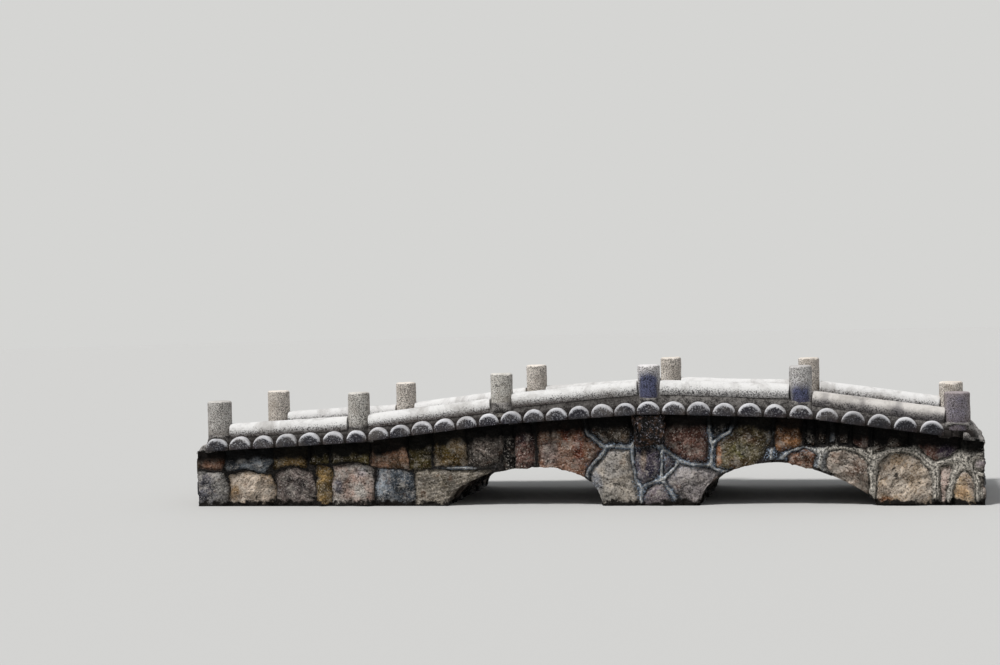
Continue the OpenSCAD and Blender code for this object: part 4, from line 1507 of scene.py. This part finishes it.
def build_floor(stage):
    """A wide plain floor just under the bridge"""
    bm = bmesh.new()
    bmesh.ops.create_circle(bm, cap_ends=True, segments=96, radius=FLOOR_RADIUS)
    bmesh.ops.translate(bm, verts=bm.verts, vec=(0, 0, -ON_GROUND))
    floor = put_in_scene("floor", to_mesh(bm, "floor"))
    material = bpy.data.materials.new("studio_floor")
    add = begin_tree(material)
    surface = add("BsdfPrincipled", {
        "Base Color": linear(stage.floor_tone), "Roughness": 0.9, "Specular IOR Level": 0.1})["BSDF"]
    add("OutputMaterial", {"Surface": surface})
    floor.data.materials.append(material)


def build_light(context, stage):
    """A large soft lamp, light from all round, and a plain backdrop for the rays that see it"""
    world = bpy.data.worlds.new("studio")
    add = begin_tree(world)
    rays = add("LightPath")
    direct = add("Math", [rays["Is Camera Ray"], rays["Is Glossy Ray"]], operation="MAXIMUM")[0]
    seen = add("Math", [direct, rays["Is Transmission Ray"]], operation="MAXIMUM")[0]
    fill = add("Background", {"Color": linear("#eef1f6"), "Strength": stage.fill_light})["Background"]
    backdrop = add("Background", {"Color": linear("#d5d5d3"), "Strength": 1.0})["Background"]
    add("OutputWorld", {"Surface": add("MixShader", [seen, fill, backdrop])["Shader"]})
    context.scene.world = world
    lamp = put_in_scene("key", bpy.data.lights.new("key", "SUN"))
    lamp.data.angle = math.radians(LAMP_DISC)
    lamp.data.energy = stage.key_light
    rise = math.radians(LAMP_RISE)
    swing = math.radians(LAMP_SWING)
    away = Vector((math.cos(rise) * math.sin(swing), -math.cos(rise) * math.cos(swing), math.sin(rise)))
    lamp.location = LAMP_TARGET + LAMP_DISTANCE * away
    lamp.rotation_euler = away.to_track_quat("Z", "Y").to_euler()


def build_camera(context):
    """A camera that sees the bridge as the photo does, fitted to the posts"""
    camera = put_in_scene("camera", bpy.data.cameras.new("camera"))
    camera.data.sensor_fit = "HORIZONTAL"
    camera.data.sensor_width = CAMERA_SENSOR
    camera.data.lens = CAMERA_LENS
    camera.data.clip_end = CAMERA_REACH
    turn = Matrix.Rotation(math.radians(CAMERA_TURN), 4, "Z")
    pitch = Matrix.Rotation(math.radians(90 - CAMERA_DROP), 4, "X")
    roll = Matrix.Rotation(math.radians(CAMERA_ROLL), 4, "Z")
    camera.matrix_world = Matrix.Translation(CAMERA_PLACE) @ turn @ pitch @ roll
    context.scene.camera = camera
    context.scene.view_settings.view_transform = "Standard"


# Operators

class FOOTBRIDGE_OT_face_walls(bpy.types.Operator):
    """Builds the rubble walls of the front and the back"""
    bl_idname = "footbridge.face_walls"
    bl_label = "Face walls"

    def execute(self, context):
        for side in SIDES:
            build_face_wall(context, side)
        return {"FINISHED"}


class FOOTBRIDGE_OT_end_walls(bpy.types.Operator):
    """Builds the rubble walls of both ends"""
    bl_idname = "footbridge.end_walls"
    bl_label = "End walls"

    def execute(self, context):
        for way in ENDS:
            build_end_wall(context, way)
        return {"FINISHED"}


class FOOTBRIDGE_OT_arch_linings(bpy.types.Operator):
    """Builds the barrels of the arches and gives the hidden core its finish"""
    bl_idname = "footbridge.arch_linings"
    bl_label = "Arch linings"

    def execute(self, context):
        for way in ENDS:
            build_arch_lining(context, way)
        for name in ("left_abutment", "right_abutment", "centre_pier"):
            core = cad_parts[name]
            core.data.materials.clear()
            core.data.materials.append(materials(context)["core_masonry"])
        return {"FINISHED"}


class FOOTBRIDGE_OT_corbels(bpy.types.Operator):
    """Builds the rough blocks under the crest posts"""
    bl_idname = "footbridge.corbels"
    bl_label = "Corbels"

    def execute(self, context):
        for side in SIDES:
            build_corbel(context, side)
        return {"FINISHED"}


class FOOTBRIDGE_OT_deck_bed(bpy.types.Operator):
    """Builds the slab and all the mortar of the deck"""
    bl_idname = "footbridge.deck_bed"
    bl_label = "Deck bed"

    def execute(self, context):
        for bay in range(1, BAYS + 1):
            build_deck_bed(context, bay)
        return {"FINISHED"}


class FOOTBRIDGE_OT_deck_logs(bpy.types.Operator):
    """Builds the half-round logs of the deck"""
    bl_idname = "footbridge.deck_logs"
    bl_label = "Deck logs"

    def execute(self, context):
        for bay in range(1, BAYS + 1):
            build_deck_logs(context, bay)
        return {"FINISHED"}


class FOOTBRIDGE_OT_curbs(bpy.types.Operator):
    """Builds the log curbs along both edges"""
    bl_idname = "footbridge.curbs"
    bl_label = "Curbs"

    def execute(self, context):
        for bay in range(1, BAYS + 1):
            for side in SIDES:
                build_curb(context, bay, side)
        return {"FINISHED"}


class FOOTBRIDGE_OT_posts(bpy.types.Operator):
    """Builds the twelve posts"""
    bl_idname = "footbridge.posts"
    bl_label = "Posts"

    def execute(self, context):
        for index in range(BAYS + 1):
            for side in SIDES:
                build_post(context, index, side)
        return {"FINISHED"}


class FOOTBRIDGE_OT_sills(bpy.types.Operator):
    """Builds the mortared sills at both ends"""
    bl_idname = "footbridge.sills"
    bl_label = "Sills"

    def execute(self, context):
        for way in ENDS:
            build_sill(context, way)
        return {"FINISHED"}


class FOOTBRIDGE_OT_stage(bpy.types.Operator):
    """Sets up the floor, the lamp, the light from all round and the camera"""
    bl_idname = "footbridge.stage"
    bl_label = "Stage"

    def execute(self, context):
        stage = context.scene.footbridge_stage
        build_floor(stage)
        build_light(context, stage)
        build_camera(context)
        return {"FINISHED"}


class FOOTBRIDGE_PT_panel(bpy.types.Panel):
    """Lists the steps that build the footbridge"""
    bl_label = "Footbridge"
    bl_idname = "FOOTBRIDGE_PT_panel"
    bl_space_type = "VIEW_3D"
    bl_region_type = "UI"
    bl_category = "Footbridge"

    def draw(self, context):
        for settings in (context.scene.footbridge_masonry, context.scene.footbridge_concrete,
                         context.scene.footbridge_stage):
            box = self.layout.box()
            for name in settings.bl_rna.properties.keys():
                if name not in ("rna_type", "name"):
                    box.prop(settings, name)
        for step in STEPS:
            self.layout.operator(step.bl_idname)


SETTINGS = {
    "footbridge_masonry": FootbridgeMasonry,
    "footbridge_concrete": FootbridgeConcrete,
    "footbridge_stage": FootbridgeStage,
}
STEPS = (FOOTBRIDGE_OT_face_walls, FOOTBRIDGE_OT_end_walls, FOOTBRIDGE_OT_arch_linings,
         FOOTBRIDGE_OT_corbels, FOOTBRIDGE_OT_deck_bed, FOOTBRIDGE_OT_deck_logs, FOOTBRIDGE_OT_curbs,
         FOOTBRIDGE_OT_posts, FOOTBRIDGE_OT_sills, FOOTBRIDGE_OT_stage)


def register():
    for group in SETTINGS.values():
        bpy.utils.register_class(group)
    for name, group in SETTINGS.items():
        setattr(bpy.types.Scene, name, bpy.props.PointerProperty(type=group))
    for step in STEPS:
        bpy.utils.register_class(step)
    bpy.utils.register_class(FOOTBRIDGE_PT_panel)


def unregister():
    bpy.utils.unregister_class(FOOTBRIDGE_PT_panel)
    for step in reversed(STEPS):
        bpy.utils.unregister_class(step)
    for name in SETTINGS:
        delattr(bpy.types.Scene, name)
    for group in SETTINGS.values():
        bpy.utils.unregister_class(group)


def main():
    register()
    bpy.ops.footbridge.face_walls()
    bpy.ops.footbridge.end_walls()
    bpy.ops.footbridge.arch_linings()
    bpy.ops.footbridge.corbels()
    bpy.ops.footbridge.deck_bed()
    bpy.ops.footbridge.deck_logs()
    bpy.ops.footbridge.curbs()
    bpy.ops.footbridge.posts()
    bpy.ops.footbridge.sills()
    bpy.ops.footbridge.stage()
    bpy.context.view_layer.update()


if __name__ == "__main__":
    main()
